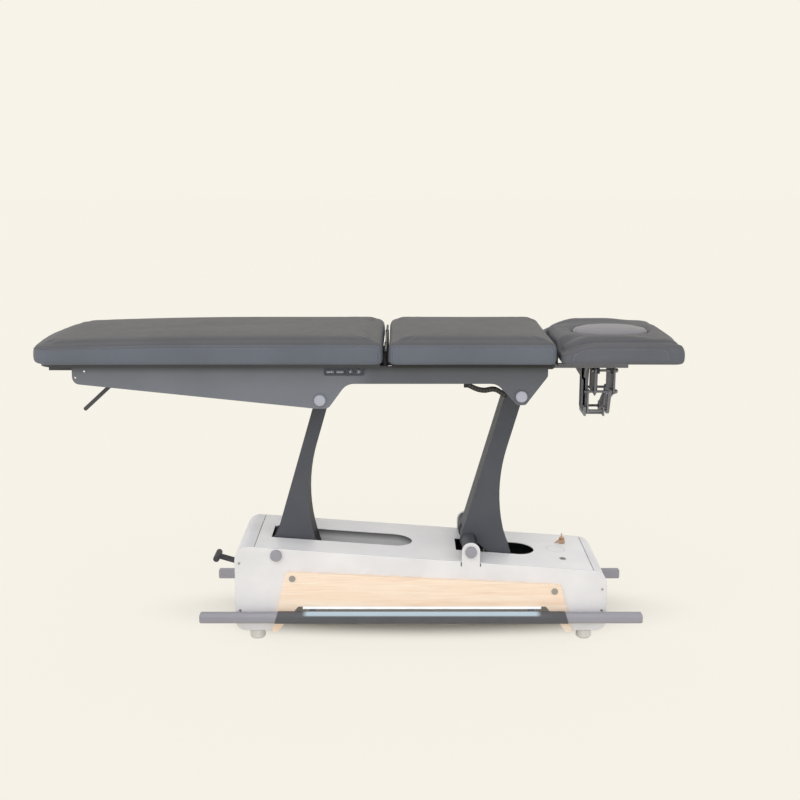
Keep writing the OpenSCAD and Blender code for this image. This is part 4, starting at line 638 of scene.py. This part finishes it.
SHRINK = 1.5 * MM
VOXEL = 5.5 * MM
SWELL = 6.0 * MM
HELD_HEIGHT = 7 * MM
CLOTH_FRAMES, CLOTH_QUALITY, CLOTH_PRESSURE = 20, 4, 4
NEAR_ZERO = 1e-9
FOOT_RADIUS = 72 * MM
FOOT_BOW, END_BOW = 14 * MM, -1 * MM
CORNER_RADIUS = 27 * MM
SHOULDER = 45 * MM
LEG_FALL, LEG_FALL_FROM, LEG_FALL_RUN = 15 * MM, -300 * MM, 640 * MM
# Section of a cushion's edge: (inset in shoulders, height as a share of the thickness)
EDGE = ((0.62, 0.0), (0.32, 0.003), (0.17, 0.02), (0.08, 0.055), (0.025, 0.12), (0.0, 0.22), (0.0, 0.42),
        (0.012, 0.56), (0.035, 0.67), (0.07, 0.75), (0.16, 0.815), (0.31, 0.87), (0.52, 0.915), (0.8, 0.95),
        (1.2, 0.975), (1.8, 0.99), (2.8, 1.0), (4.2, 1.0))


def arc(centre, radius, start, end, steps):
    angles = np.radians(np.linspace(start, end, steps + 1))
    return np.stack([centre[0] + radius * np.cos(angles), centre[1] + radius * np.sin(angles)], 1)


def edge_between(a, b, pull, steps):
    """Points between a and b, drawn to the left of the way by pull at the middle."""
    t = np.linspace(0, 1, steps + 1)[1:-1, None]
    way = (b - a) / np.linalg.norm(b - a)
    return a + (b - a) * t + np.array([-way[1], way[0]]) * pull * np.sin(math.pi * t)


def plan(lo, hi, inset, radii, bows, side_pull=2 * MM, steps=(24, 16, 10)):
    """Outline of a cushion from above, counter-clockwise from the near head-end corner."""
    sides, ends, turns = steps
    radius = [max(r - inset, r / 4) for r in radii]
    x0, x1 = lo[0] + bows[0] + inset, hi[0] - inset
    y0, y1 = lo[1] + inset, hi[1] - inset
    r0, r1 = radius
    corners = (arc((x1 - r1, y0 + r1), r1, -90, 0, turns), arc((x1 - r1, y1 - r1), r1, 0, 90, turns),
               arc((x0 + r0, y1 - r0), r0, 90, 180, turns), arc((x0 + r0, y0 + r0), r0, 180, 270, turns))
    pulls = (-bows[1], side_pull, -bows[0], side_pull)
    counts = (ends, sides, ends, sides)
    parts = []
    for i in range(4):
        parts.append(corners[i])
        parts.append(edge_between(corners[i][-1], corners[(i + 1) % 4][0], pulls[i], counts[i]))
    return np.concatenate(parts)


def at_height(ring, z):
    return np.column_stack([ring, np.full(len(ring), z)])


def box_arrays(node):
    lo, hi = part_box(node)
    return np.array(lo), np.array(hi)


def cushion_rings(node, radii, bows, fall=lambda x: 0 * x):
    """Rings of a plain cushion inside the box of its CAD node, its top lowered by fall at X."""
    lo, hi = box_arrays(node)
    lo[:2] += SHRINK
    hi -= SHRINK
    tall = hi[2] - lo[2]
    rings = []
    for inset, share in EDGE:
        ring = plan(lo, hi, inset * SHOULDER, radii, bows)
        rings.append(np.column_stack([ring, lo[2] + share * (tall - fall(ring[:, 0]))]))
    return rings


def swollen(piece, held_z, cap):
    """Swells a closed mesh outwards as foam fills a cover; the points below held_z stay in place."""
    remesh = piece.modifiers.new("remesh", "REMESH")
    remesh.mode = "VOXEL"
    remesh.voxel_size = VOXEL
    apply_modifiers(piece)
    rest, normals = points_and_normals(piece.data)
    group = piece.vertex_groups.new(name="held")
    group.add([int(i) for i in np.nonzero(rest[:, 2] < held_z)[0]], 1.0, "REPLACE")
    cloth = piece.modifiers.new("cloth", "CLOTH")
    cloth.settings.quality = CLOTH_QUALITY
    cloth.settings.use_pressure = True
    cloth.settings.uniform_pressure_force = CLOTH_PRESSURE
    cloth.settings.vertex_group_mass = "held"
    cloth.settings.effector_weights.gravity = 0
    cloth.collision_settings.use_collision = False
    cloth.point_cache.frame_start = 1
    cloth.point_cache.frame_end = CLOTH_FRAMES
    for step in range(1, CLOTH_FRAMES + 1):
        scene.frame_set(step)
    apply_modifiers(piece)
    scene.frame_set(1)
    move = as_array(piece.data.vertices, "co") - rest
    sunk = np.minimum((move * normals).sum(1), 0)
    move -= sunk[:, None] * normals
    far = np.linalg.norm(move, axis=1)
    soft = cap * np.tanh(far / cap) / np.maximum(far, NEAR_ZERO)
    set_points(piece.data, rest + move * soft[:, None])
    fine = piece.modifiers.new("fine", "SUBSURF")
    fine.levels = fine.render_levels = 1
    apply_modifiers(piece)
    piece.vertex_groups.clear()


# Seams and stitches

SEAM_SHARE = 0.765
SEAM_STEP = 2 * MM
SEAM_DEPTH, SEAM_WIDTH, SEAM_PUFF = 2.0 * MM, 2.4 * MM, 0.7 * MM
# A seam's path starts this far above the cushion's underside and runs this far outside its sides
SEAM_FOOT, SEAM_OUT = 12 * MM, 4 * MM
# How far a seam reaches and where it puffs, in seam widths
SEAM_REACH, PUFF_AT = 4, 2.3
# Puckers of a seam: height, turn in radians a step, and phase
PUCKERS = ((0.22, 0.42, 0), (0.13, 1.13, 1.7))
QUARTER_TURN = np.linspace(0, math.pi / 2, 10)
# The thread is lighter than the vinyl's side, partly a painted highlight along the seams
THREAD = moulded("thread", shade(VINYL_SIDE, 1.4), 0.6, 0.02 * MM)
STITCH_PITCH, STITCH_LENGTH, STITCH_RADIUS, STITCH_SIDES = 6.5 * MM, 4.2 * MM, 0.42 * MM, 6
STITCH_DROP = 3.2 * MM
# A stitch is left out where its ends lie closer or farther apart than these shares of the pitch
STITCH_SPAN = (0.3, 2)
# Sections of a stitch: place along it, then girth and lift in radii
STITCH_FORM = ((-0.5, 0.25, -0.5), (-0.3, 0.9, 0.2), (0.3, 0.9, 0.2), (0.5, 0.25, -0.5))


def on_surface(piece, path):
    """The path's points moved onto the piece, and the surface normals there."""
    tree = BVHTree.FromObject(piece, bpy.context.evaluated_depsgraph_get())
    hits = [tree.find_nearest(Vector(p)) for p in path]
    return np.array([h[0] for h in hits]), np.array([h[1] for h in hits])


def resampled(path, step):
    """The path with points about a step apart."""
    path = np.asarray(path)
    lengths = np.linalg.norm(np.diff(path, axis=0), axis=1)
    along = np.concatenate([[0], np.cumsum(lengths)])
    marks = np.linspace(0, along[-1], max(2, int(round(along[-1] / step)) + 1))
    return np.stack([np.interp(marks, along, path[:, k]) for k in range(3)], 1)


def sewn(piece, path, depth=SEAM_DEPTH, width=SEAM_WIDTH, puff=SEAM_PUFF):
    """Draws the surface in along a seam, with small puckers and a little puff beside it."""
    line, _ = on_surface(piece, resampled(path, SEAM_STEP))
    tree = KDTree(len(line))
    for i, p in enumerate(line):
        tree.insert(p, i)
    tree.balance()
    points, normals = points_and_normals(piece.data)
    reach = SEAM_REACH * width
    lo, hi = line.min(0) - reach, line.max(0) + reach
    for i in np.nonzero(((points > lo) & (points < hi)).all(1))[0]:
        _, place, gap = tree.find(points[i])
        if gap < reach:
            pucker = 1 + sum(high * math.sin(place * turn + phase) for high, turn, phase in PUCKERS)
            drawn = depth * pucker * math.exp(-((gap / width) ** 2))
            raised = puff * math.exp(-(((gap - PUFF_AT * width) / width) ** 2))
            points[i] += normals[i] * (raised - drawn)
    set_points(piece.data, points)


def stitches(name, piece, path, body):
    """A row of thread stitches lying on a piece along a path."""
    line, normals = on_surface(piece, resampled(path, STITCH_PITCH))
    rings, faces = [], []
    turns = circle(STITCH_SIDES)[:, None]
    for i in range(len(line) - 1):
        way = line[i + 1] - line[i]
        reach = np.linalg.norm(way)
        if reach < STITCH_SPAN[0] * STITCH_PITCH or reach > STITCH_SPAN[1] * STITCH_PITCH:
            continue
        way /= reach
        up = normals[i] - way * normals[i].dot(way)
        up /= np.linalg.norm(up)
        side = np.cross(way, up)
        start = len(rings) * STITCH_SIDES
        for along, girth, lift in STITCH_FORM:
            centre = line[i] + way * (STITCH_PITCH / 2 + along * STITCH_LENGTH) + up * lift * STITCH_RADIUS
            rings.append(centre + STITCH_RADIUS * girth * (np.cos(turns) * side + np.sin(turns) * up))
        _, stitch = stacked(rings[-len(STITCH_FORM):])
        faces += [tuple(start + k for k in face) for face in stitch]
    thread = new_piece(name, np.concatenate(rings), faces, THREAD)
    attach(thread, body)


def side_seam(lo, hi, ends, radii, side, drop=0.0):
    """Seam of a boxed side panel: up near one end, along under the shoulder and down at the other."""
    (x0, x1), (r0, r1) = ends, radii
    top = lo[2] + SEAM_SHARE * (hi[2] - lo[2]) - drop
    bottom = lo[2] + SEAM_FOOT
    points = [(x0, bottom)]
    points += [(x0 + r0 - r0 * math.cos(a), top - r0 + r0 * math.sin(a)) for a in QUARTER_TURN]
    points += [(x1 - r1 + r1 * math.sin(a), top - r1 + r1 * math.cos(a)) for a in QUARTER_TURN]
    points += [(x1, bottom)]
    return np.array([(x, side * (hi[1] + SEAM_OUT), z) for x, z in points])


def boxed_side(name, piece, body, box, ends, radii, side):
    """The seam round a side panel, and a row of stitches inside it."""
    sewn(piece, side_seam(*box, ends, radii, side))
    inner = (ends[0] + STITCH_DROP, ends[1] - STITCH_DROP)
    stitches(name, piece, side_seam(*box, inner, radii, side, STITCH_DROP), body)


def upholster(name, node, rings, loop=False, swell=SWELL, finish=FINISHES["upholstery"]):
    points, faces = stacked(rings, loop)
    piece = new_piece(name, points, faces, finish)
    lo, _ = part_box(node)
    swollen(piece, lo.z + HELD_HEIGHT, swell)
    return piece


def settle(piece, node, body):
    """Hides the CAD node and attaches the finished cushion to its body in the node's place."""
    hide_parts(node)
    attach(piece, body)


# Leg and middle cushions

LEG_SEAM_IN, LEG_SEAM_RADIUS = 5 * MM, 20 * MM
MID_SEAM_IN, MID_SEAM_RADIUS = 4 * MM, 18 * MM
SIDES = ((-1, "near"), (1, "far"))


def leg_fall(x):
    """How far the leg cushion's top has sunk with use towards the foot end."""
    return LEG_FALL * np.clip((LEG_FALL_FROM - x) / LEG_FALL_RUN, 0, 1) ** 2


def make_leg_cushion():
    radii = (FOOT_RADIUS, CORNER_RADIUS)
    rings = cushion_rings("leg_cushion", radii, (FOOT_BOW, END_BOW), leg_fall)
    piece = upholster("leg_pad", "leg_cushion", rings)
    lo, hi = box_arrays("leg_cushion")
    top, foot = lo[2] + SEAM_SHARE * (hi[2] - lo[2]), lo[2] + SEAM_FOOT
    end, r = hi[0] - LEG_SEAM_IN, LEG_SEAM_RADIUS
    turn = [(end - r + r * math.sin(a), top - r + r * math.cos(a)) for a in QUARTER_TURN]
    out = plan(lo - SEAM_OUT, hi + SEAM_OUT, 0, radii, (FOOT_BOW, 0))
    start = np.argmax(out[:, 1] > hi[1])
    rim = [p for p in out[start:] if p[0] < end - r]
    far = [(x, hi[1] + SEAM_OUT, z) for x, z in turn[::-1]]
    near = [(x, lo[1] - SEAM_OUT, z) for x, z in turn]
    path = [(end, far[0][1], foot)] + far + [(x, y, top) for x, y in rim] + near + [(end, near[0][1], foot)]
    sewn(piece, path)
    below = [(x, y, z - STITCH_DROP) for x, y, z in path]
    stitches("leg_stitches", piece, below, "leg_section")
    settle(piece, "leg_cushion", "leg_section")


def make_mid_cushion():
    rings = cushion_rings("mid_cushion", (CORNER_RADIUS, CORNER_RADIUS), (END_BOW, END_BOW))
    piece = upholster("mid_pad", "mid_cushion", rings)
    lo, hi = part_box("mid_cushion")
    ends = (lo.x + MID_SEAM_IN, hi.x - MID_SEAM_IN)
    radii = (MID_SEAM_RADIUS, MID_SEAM_RADIUS)
    for side, word in SIDES:
        boxed_side(f"mid_stitches_{word}", piece, "top_frame", (lo, hi), ends, radii, side)
    settle(piece, "mid_cushion", "top_frame")


# Head cushion: a ring of upholstery round the face recess, with a roll along each side

HEAD_TALL = 75 * MM
RECESS = (236 * MM, 166 * MM)
RECESS_X = 777 * MM
HEAD_STEPS = (40, 40, 12)
HEAD_SWELL = 3 * MM
# The head's vinyl, with side and top colours that differ by painted light
HEAD_VINYL = vinyl("head_upholstery", (103, 106, 113), (101, 101, 105))
HEAD_EDGE = ((0.62, 0.0), (0.32, 0.003), (0.17, 0.02), (0.08, 0.055), (0.025, 0.12), (0.0, 0.22), (0.0, 0.38),
             (0.012, 0.5), (0.04, 0.59), (0.09, 0.67), (0.16, 0.73), (0.25, 0.775))
# Rings across the top, from the outer edge at 0 to the recess at 1, and down the recess's wall
HEAD_IN = (0.04, 0.08, 0.12, 0.155, 0.19, 0.225, 0.26, 0.31, 0.37, 0.45, 0.56, 0.67, 0.78, 0.88, 0.95, 1.0)
RECESS_WALL = (0.74, 0.5, 0.25, 0.0)
# Heights and depths on the top are shares of HEAD_TALL, and lip widths are shares of the way in
PLATEAU, LEDGE = 0.865, 0.8
LIP_DEEP, OUTER_LIP, INNER_LIP = 0.07, 0.1, 0.09
ROLL_AT, ROLL_WIDE, ROLL_UP = 188 * MM, 34 * MM, 0.11
ROLL_END, ROLL_FADE = 790 * MM, 100 * MM
GROOVE_AT, GROOVE_WIDE, GROOVE_DEEP = 219 * MM, 8 * MM, 0.07
# Behind the middle cushion the rolls start low: how far down, from where, and across which part
ROLL_START, ROLL_RISE, ROLL_CURVE = 597 * MM, 103 * MM, 1.6
ROLL_FALL = 34 * MM
LOW_FROM, LOW_RUN = 118 * MM, 45 * MM
LOW_SHARE, LOW_SHARE_RUN = 0.35, 0.5
# At the head end the upper tier is stepped back between TIER_IN and TIER_OUT, each (from, run)
TIER_STEP, TIER_NOTCH, NOTCH_WIDE = 6 * MM, 5 * MM, 9 * MM
TIER_BACK, TIER_RUN = 70 * MM, 60 * MM
TIER_SHARE, TIER_SHARE_RUN = 0.45, 0.2
TIER_IN, TIER_OUT = (112 * MM, 40 * MM), (232 * MM, 25 * MM)
GROOVE_START, GROOVE_POINTS, GROOVE_SHARE = 650 * MM, 30, 0.76
# Depth, width and puff of the seam in a groove
GROOVE_SEAM = (2.4 * MM, 3.4 * MM, 0.9 * MM)
HEAD_SEAM_X, HEAD_SEAM_RADII = (624 * MM, 908 * MM), (44 * MM, 34 * MM)


def hump(y, at, wide):
    return np.exp(-(((np.abs(y) - at) / wide) ** 2))


def rising(value, start, run):
    """A share that goes smoothly from 0 at start to 1 a run later."""
    return smoothed((value - start) / run)


def head_top(x, y):
    """Height of the head cushion's top as a share of its thickness; the rolls fade towards the head end."""
    roll = ROLL_UP * (1 - rising(x, ROLL_END, ROLL_FADE))
    upper = PLATEAU + roll * hump(y, ROLL_AT, ROLL_WIDE)
    ledge = smoothed((np.abs(y) - GROOVE_AT + GROOVE_WIDE) / (2 * GROOVE_WIDE))
    return upper + (LEDGE - upper) * ledge - GROOVE_DEEP * hump(y, GROOVE_AT, GROOVE_WIDE)


def shaped_head(ring, z0, x1):
    """Lets the rolls start low behind the middle cushion and steps the upper tier at the head end."""
    x, y, z = ring[:, 0].copy(), ring[:, 1].copy(), ring[:, 2].copy()
    share, out = (z - z0) / HEAD_TALL, np.abs(y)
    upper = rising(share, TIER_SHARE, TIER_SHARE_RUN)
    outer = rising(out, LOW_FROM, LOW_RUN)
    start = np.clip(1 - (x - ROLL_START) / ROLL_RISE, 0, 1) ** ROLL_CURVE
    z -= ROLL_FALL * start * outer * rising(share, LOW_SHARE, LOW_SHARE_RUN)
    end = rising(x, x1 - TIER_BACK, TIER_RUN)
    step = rising(out, *TIER_IN) * (1 - rising(out, *TIER_OUT))
    x -= end * upper * (TIER_STEP * step + TIER_NOTCH * hump(y, GROOVE_AT, NOTCH_WIDE))
    return np.stack([x, y, z], 1)


def to_recess(ring, half_wide, half_long):
    """The ring drawn in to the rim of the recess, point by point."""
    turn = np.arctan2(ring[:, 1] / half_wide, (ring[:, 0] - RECESS_X) / half_long)
    return np.stack([RECESS_X + (RECESS[0] / 2 + SHRINK) * np.cos(turn),
                     (RECESS[1] / 2 + SHRINK) * np.sin(turn)], 1)


def head_rings():
    lo, hi = box_arrays("head_cushion")
    x1 = hi[0]
    lo[:2] += SHRINK
    hi[:2] -= SHRINK
    radii = (CORNER_RADIUS, CORNER_RADIUS)

    def outline(inset):
        return plan(lo, hi, inset * SHOULDER, radii, (END_BOW, 0), steps=HEAD_STEPS)

    rings = [at_height(outline(inset), lo[2] + share * HEAD_TALL) for inset, share in HEAD_EDGE]
    last = outline(HEAD_EDGE[-1][0])
    rim = to_recess(last, hi[1], (hi[0] - lo[0]) / 2)
    for t in HEAD_IN:
        ring = last * (1 - t) + rim * t
        dip = LIP_DEEP * (math.exp(-((t / OUTER_LIP) ** 2)) + math.exp(-(((t - 1) / INNER_LIP) ** 2)))
        heights = lo[2] + (head_top(ring[:, 0], ring[:, 1]) - dip) * HEAD_TALL
        rings.append(np.column_stack([ring, heights]))
    rings += [at_height(rim, lo[2] + share * HEAD_TALL) for share in RECESS_WALL]
    return [shaped_head(ring, lo[2], x1) for ring in rings]


def make_head_cushion():
    piece = upholster("head_pad", "head_cushion", head_rings(), True, HEAD_SWELL, HEAD_VINYL)
    lo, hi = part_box("head_cushion")
    hi.z = lo.z + HEAD_TALL
    along, level = np.linspace(GROOVE_START, hi.x, GROOVE_POINTS), lo.z + GROOVE_SHARE * HEAD_TALL
    for side, word in SIDES:
        sewn(piece, [(x, side * GROOVE_AT, level) for x in along], *GROOVE_SEAM)
        boxed_side(f"head_stitches_{word}", piece, "head_section", (lo, hi), HEAD_SEAM_X, HEAD_SEAM_RADII,
                   side)
    settle(piece, "head_cushion", "head_section")


# Plug in the face recess

PLUG_GAP, PLUG_STEPS = 1.6 * MM, 96
# Section of the plug's edge: (share of the recess's size, height as a share of the thickness)
PLUG_EDGE = ((0.93, 0.0), (0.985, 0.03), (1.0, 0.1), (1.0, 0.4), (1.0, 0.7), (0.995, 0.8), (0.98, 0.87),
             (0.955, 0.925), (0.9, 0.965), (0.8, 1.0), (0.65, 1.025), (0.45, 1.045), (0.2, 1.055),
             (0.06, 1.057))
# Room left for the swelling, and the height up to which the plug is held
PLUG_IN, PLUG_UP, PLUG_LESS, PLUG_SWELL, PLUG_HELD = 0.004, 0.5 * MM, 2 * MM, 2.5 * MM, 52 * MM
PLUG_SEAM_AT, PLUG_SEAM = (0.957, 0.93), (0.9 * MM, 2 * MM, 0.25 * MM)


def oval(share, z):
    turns = np.arange(PLUG_STEPS) * 2 * math.pi / PLUG_STEPS
    long, wide = RECESS[0] / 2 - PLUG_GAP, RECESS[1] / 2 - PLUG_GAP
    return at_height(np.stack([RECESS_X + long * share * np.cos(turns), wide * share * np.sin(turns)], 1), z)


def make_plug():
    lo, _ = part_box("face_plug")
    low, tall = lo.z + PLUG_UP, HEAD_TALL - PLUG_LESS
    rings = [oval(share - PLUG_IN, low + up * tall) for share, up in PLUG_EDGE]
    piece = new_piece("recess_plug", *stacked(rings), FINISHES["plug_cloth"])
    swollen(piece, lo.z + PLUG_HELD, PLUG_SWELL)
    seam = oval(PLUG_SEAM_AT[0], lo.z + PLUG_SEAM_AT[1] * HEAD_TALL)
    sewn(piece, np.vstack([seam, seam[:1]]), *PLUG_SEAM)
    settle(piece, "face_plug", "face_plug")


# Small details

SIGN_PAINT = moulded("sign_paint", (214, 216, 224), 0.5)
SIGN_WIDE, SIGN_DEEP, SIGN_SUNK = 1.2 * MM, 0.3 * MM, 0.1 * MM
# Marks on the keys, in millimetres from the key's middle; arrows point up
COUCH = ((-9, 0.6), (-9, -2.8), (9, -2.8), (9, 0.6))
COUCH_BAR = ((-6.4, -0.6), (1.5, -0.6))
COUCH_ARROW = ((2.6, -0.6), (6.8, -0.6), (4.7, 2.8))
ROUND_RADIUS, ROUND_STEPS = 6.3, 24
ROUND_ARROW = ((-3.4, 0), (3.4, 0), (0, 3.6))
ROUND_BAR = ((-3, -2.2), (3, -2.2))


def in_metres(outline, way=1):
    """Points given in millimetres as metres, upside down where way is -1."""
    return [(x * MM, way * z * MM) for x, z in outline]


def plates(name, outlines, y0, y1, material, body, slot):
    """Flat pieces between y0 and y1 from convex outlines in X and Z, as one mesh."""
    points, faces = [], []
    for outline in outlines:
        start, count = len(points), len(outline)
        points += [(x, y, z) for y in (y0, y1) for x, z in outline]
        faces.append(tuple(range(start, start + count)))
        faces.append(tuple(range(start + 2 * count - 1, start + count - 1, -1)))
        for i in range(count):
            k = (i + 1) % count
            faces.append((start + k, start + i, start + count + i, start + count + k))
    piece = new_piece(name, points, faces, material, smooth=False)
    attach(piece, body)


def path_outlines(path):
    """Outlines of the bars that draw a path."""
    outlines = []
    for a, b in zip(np.array(path[:-1]), np.array(path[1:])):
        way = (b - a) / np.linalg.norm(b - a) * SIGN_WIDE / 2
        side = np.array([-way[1], way[0]])
        outlines.append([a - way - side, b + way - side, b + way + side, a - way + side])
    return outlines


def key_sign(node, up, rounded):
    """Light marks on a push button: a couch or a ring, with a triangle that points up or down."""
    lo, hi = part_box(node)
    centre = np.array([(lo.x + hi.x) / 2, (lo.z + hi.z) / 2])
    way = 1 if up else -1
    if rounded:
        turns = np.radians(np.linspace(0, 360, ROUND_STEPS + 1))
        marks = path_outlines(in_metres(ROUND_RADIUS * np.stack([np.cos(turns), np.sin(turns)], 1)))
        marks.append(in_metres(ROUND_ARROW, way)[::way])
        marks += path_outlines(in_metres(ROUND_BAR, way))
    else:
        marks = path_outlines(in_metres(COUCH)) + path_outlines(in_metres(COUCH_BAR))
        marks.append(in_metres(COUCH_ARROW, way)[::way])
    marks = [[tuple(centre + np.array(p)) for p in mark] for mark in marks]
    plates(f"sign_{node}", marks, lo.y - SIGN_DEEP, lo.y + SIGN_SUNK, SIGN_PAINT, node, "grey_plastic")


CHAIN_PLATE = moulded("chain_plate", (88, 84, 80), 0.5)
CHAIN_START = (339 * MM, 787 * MM)
CHAIN_SPAN, CHAIN_DROP, CHAIN_NEAR = 113 * MM, 31 * MM, -76 * MM
CHAIN_ROUTE = ((0, 0), (0.09, 0.16), (0.18, 0.32), (0.28, 0.45), (0.38, 0.52), (0.47, 0.53), (0.56, 0.46),
               (0.65, 0.4), (0.74, 0.44), (0.82, 0.58), (0.9, 0.78), (1, 1.02))
CHAIN_PITCH, CHAIN_PLATE_HALF = 9.5 * MM, (3.1 * MM, 3.9 * MM)
CHAIN_PLATE_OUT, CHAIN_PLATE_SUNK = 0.8 * MM, 0.2 * MM
# A link's plate is a rounded square: its first corner's angle in degrees, and the power that squares it
CHAIN_CORNERS, CHAIN_TURN, CHAIN_SQUARE = 12, 15, 0.6


def squared(value):
    return np.sign(value) * np.abs(value) ** CHAIN_SQUARE


def chain_plates():
    """Side plates of the cable chain's links, on the near face of the plain CAD chain."""
    x0, z0 = CHAIN_START
    route = [(x0 + a * CHAIN_SPAN, 0, z0 - b * CHAIN_DROP) for a, b in CHAIN_ROUTE]
    line = resampled(route, CHAIN_PITCH / 2)[:, [0, 2]]
    turns = circle(CHAIN_CORNERS, CHAIN_TURN)[:, None]
    outlines = []
    for i in range(1, len(line) - 1, 2):
        way = (line[i + 1] - line[i - 1]) / np.linalg.norm(line[i + 1] - line[i - 1])
        side = np.array([-way[1], way[0]])
        outlines.append(line[i] + squared(np.cos(turns)) * CHAIN_PLATE_HALF[0] * way
                        + squared(np.sin(turns)) * CHAIN_PLATE_HALF[1] * side)
    plates("chain_links", outlines, CHAIN_NEAR - CHAIN_PLATE_OUT, CHAIN_NEAR + CHAIN_PLATE_SUNK, CHAIN_PLATE,
           "top_frame", "black_plastic")


GAP_SHADE_SHEET = moulded("gap_painted_shade", (36, 36, 39), 0.7)
# Dark sheets of painted shade in the gaps between the cushions: name, body, box from and to, in millimetres
GAP_SHADE_WEBS = (("leg_gap_shade", "leg_section", (86.5, -236, 876), (88.5, 236, 914)),
            ("head_gap_shade", "top_frame", (586.6, -244, 878), (588.2, 244, 904)))


# Painted shade: dark sheets put in the gaps between the cushions, where there is only shadow
def gap_shade_webs():
    for name, body, (x0, y0, z0), (x1, y1, z1) in GAP_SHADE_WEBS:
        outline = in_metres(((x0, z0), (x1, z0), (x1, z1), (x0, z1)))
        plates(name, [outline], y0 * MM, y1 * MM, GAP_SHADE_SHEET, body, "black_plastic")


RING_PAINT = moulded("ring_paint", (205, 203, 204), 0.5)
RING_AT, RING_RADIUS, RING_WIRE = (631 * MM, 19 * MM), 30 * MM, 0.6 * MM
RING_STEPS, WIRE_STEPS = 48, 6


def cover_ring():
    """Fine round outline of a lid on the base's cover."""
    rings = []
    for turn in circle(RING_STEPS):
        ring = []
        for bend in circle(WIRE_STEPS):
            across = RING_RADIUS + RING_WIRE * math.cos(bend)
            x, y = RING_AT[0] + math.cos(turn) * across, RING_AT[1] + math.sin(turn) * across
            cover = COVER_START[1] - COVER_SLOPE * (x - COVER_START[0])
            ring.append((x, y, cover + RING_WIRE * math.sin(bend) / 2))
        rings.append(np.array(ring))
    piece = new_piece("cover_ring", *stacked(rings, True), RING_PAINT)
    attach(piece, "base")


# Outlines of the second key's head and blade, in millimetres
SPARE_KEY = ((652, 236), (657, 231), (664, 230), (669, 235), (668, 241), (662, 244), (655, 243))
SPARE_BLADE = ((654, 241), (650, 245), (634, 232), (637, 229))
SPARE_KEY_Y = (80 * MM, 81.8 * MM)


def spare_key():
    """The second key on the ring, leaning on the cover."""
    outlines = [in_metres(shape) for shape in (SPARE_KEY, SPARE_BLADE)]
    plates("spare_key", outlines, *SPARE_KEY_Y, FINISHES["brass"], "lock_key", "brass")


HEAD_BODIES = ("head_section", "head_section")
# Flanges of the head linkage's bars, in millimetres: name, near and far body, outer Y and outline
FLANGES = (
    ("post", ("head_carriage", "head_carriage"), 20,
     ((692, 840), (692, 706), (701, 686), (709, 706), (716, 840))),
    ("slant", ("lower_link_near", "lower_link_far"), 34.3,
     ((750, 700), (757, 690), (764, 700), (786, 752), (781, 766), (772, 758))),
    ("foot_bar", HEAD_BODIES, 30, ((724, 855), (724, 758), (732, 744), (740, 758), (740, 855))),
    ("head_bar", HEAD_BODIES, 30, ((776, 855), (776, 760), (786, 742), (792, 760), (792, 855))))
FLANGE_THICK = 1.6 * MM


def link_flanges():
    """Side flanges that give the linkage's bars their channel section."""
    for name, (near, far), y, outline in FLANGES:
        shape, outer = [in_metres(outline)], y * MM
        plates(f"flange_{name}_near", shape, -outer, -outer + FLANGE_THICK, LINK_PAINT, near, "dark_metal")
        plates(f"flange_{name}_far", shape, outer - FLANGE_THICK, outer, LINK_PAINT, far, "dark_metal")


LINK_STEEL = metal("link_steel", (150, 149, 150), 0.42)
KNOB_Y, KNOB_SIDES = 38.5 * MM, 20
# Half of a knob's round profile: (along X from its middle, radius), in millimetres
KNOB_HALF = ((0, 6.9), (2.2, 6.5), (4.0, 5.2), (5.1, 3.2), (5.4, 1.5))
# The head linkage's rods: name, height, near and far body, and where their knobs sit along X
RODS = (("low", 700.8 * MM, ("head_carriage", "head_carriage"), (711 * MM, 770 * MM)),
        ("mid", 760.8 * MM, ("lower_link_near", "lower_link_far"), (711 * MM, 796 * MM)),
        ("top", 826.8 * MM, HEAD_BODIES, (723 * MM, 796 * MM)))


def knob(name, at, body):
    """A round head turned about X."""
    profile = in_metres([(-x, r) for x, r in KNOB_HALF[:0:-1]] + list(KNOB_HALF))
    turns = circle(KNOB_SIDES)
    rings = [np.stack([np.full(KNOB_SIDES, at[0] + x), at[1] + r * np.cos(turns), at[2] + r * np.sin(turns)],
                      1) for x, r in profile]
    piece = new_piece(name, *stacked(rings), LINK_STEEL)
    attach(piece, body)


def rod_knobs():
    """Round heads on the ends of the head linkage's rods."""
    for rod, height, bodies, stations in RODS:
        for (side, word), body in zip(SIDES, bodies):
            for i, x in enumerate(stations):
                knob(f"knob_{rod}_{word}_{i}", (x, side * KNOB_Y, height), body)


# Making it

make_camera()
make_world()
make_floor()
make_sun()
dress_frame()
make_leg_cushion()
make_mid_cushion()
make_head_cushion()
make_plug()
key_sign("button_raise", True, False)
key_sign("button_lower", False, False)
key_sign("button_round_foot", True, True)
key_sign("button_round_head", False, True)
chain_plates()
link_flanges()
rod_knobs()
gap_shade_webs()
cover_ring()
spare_key()
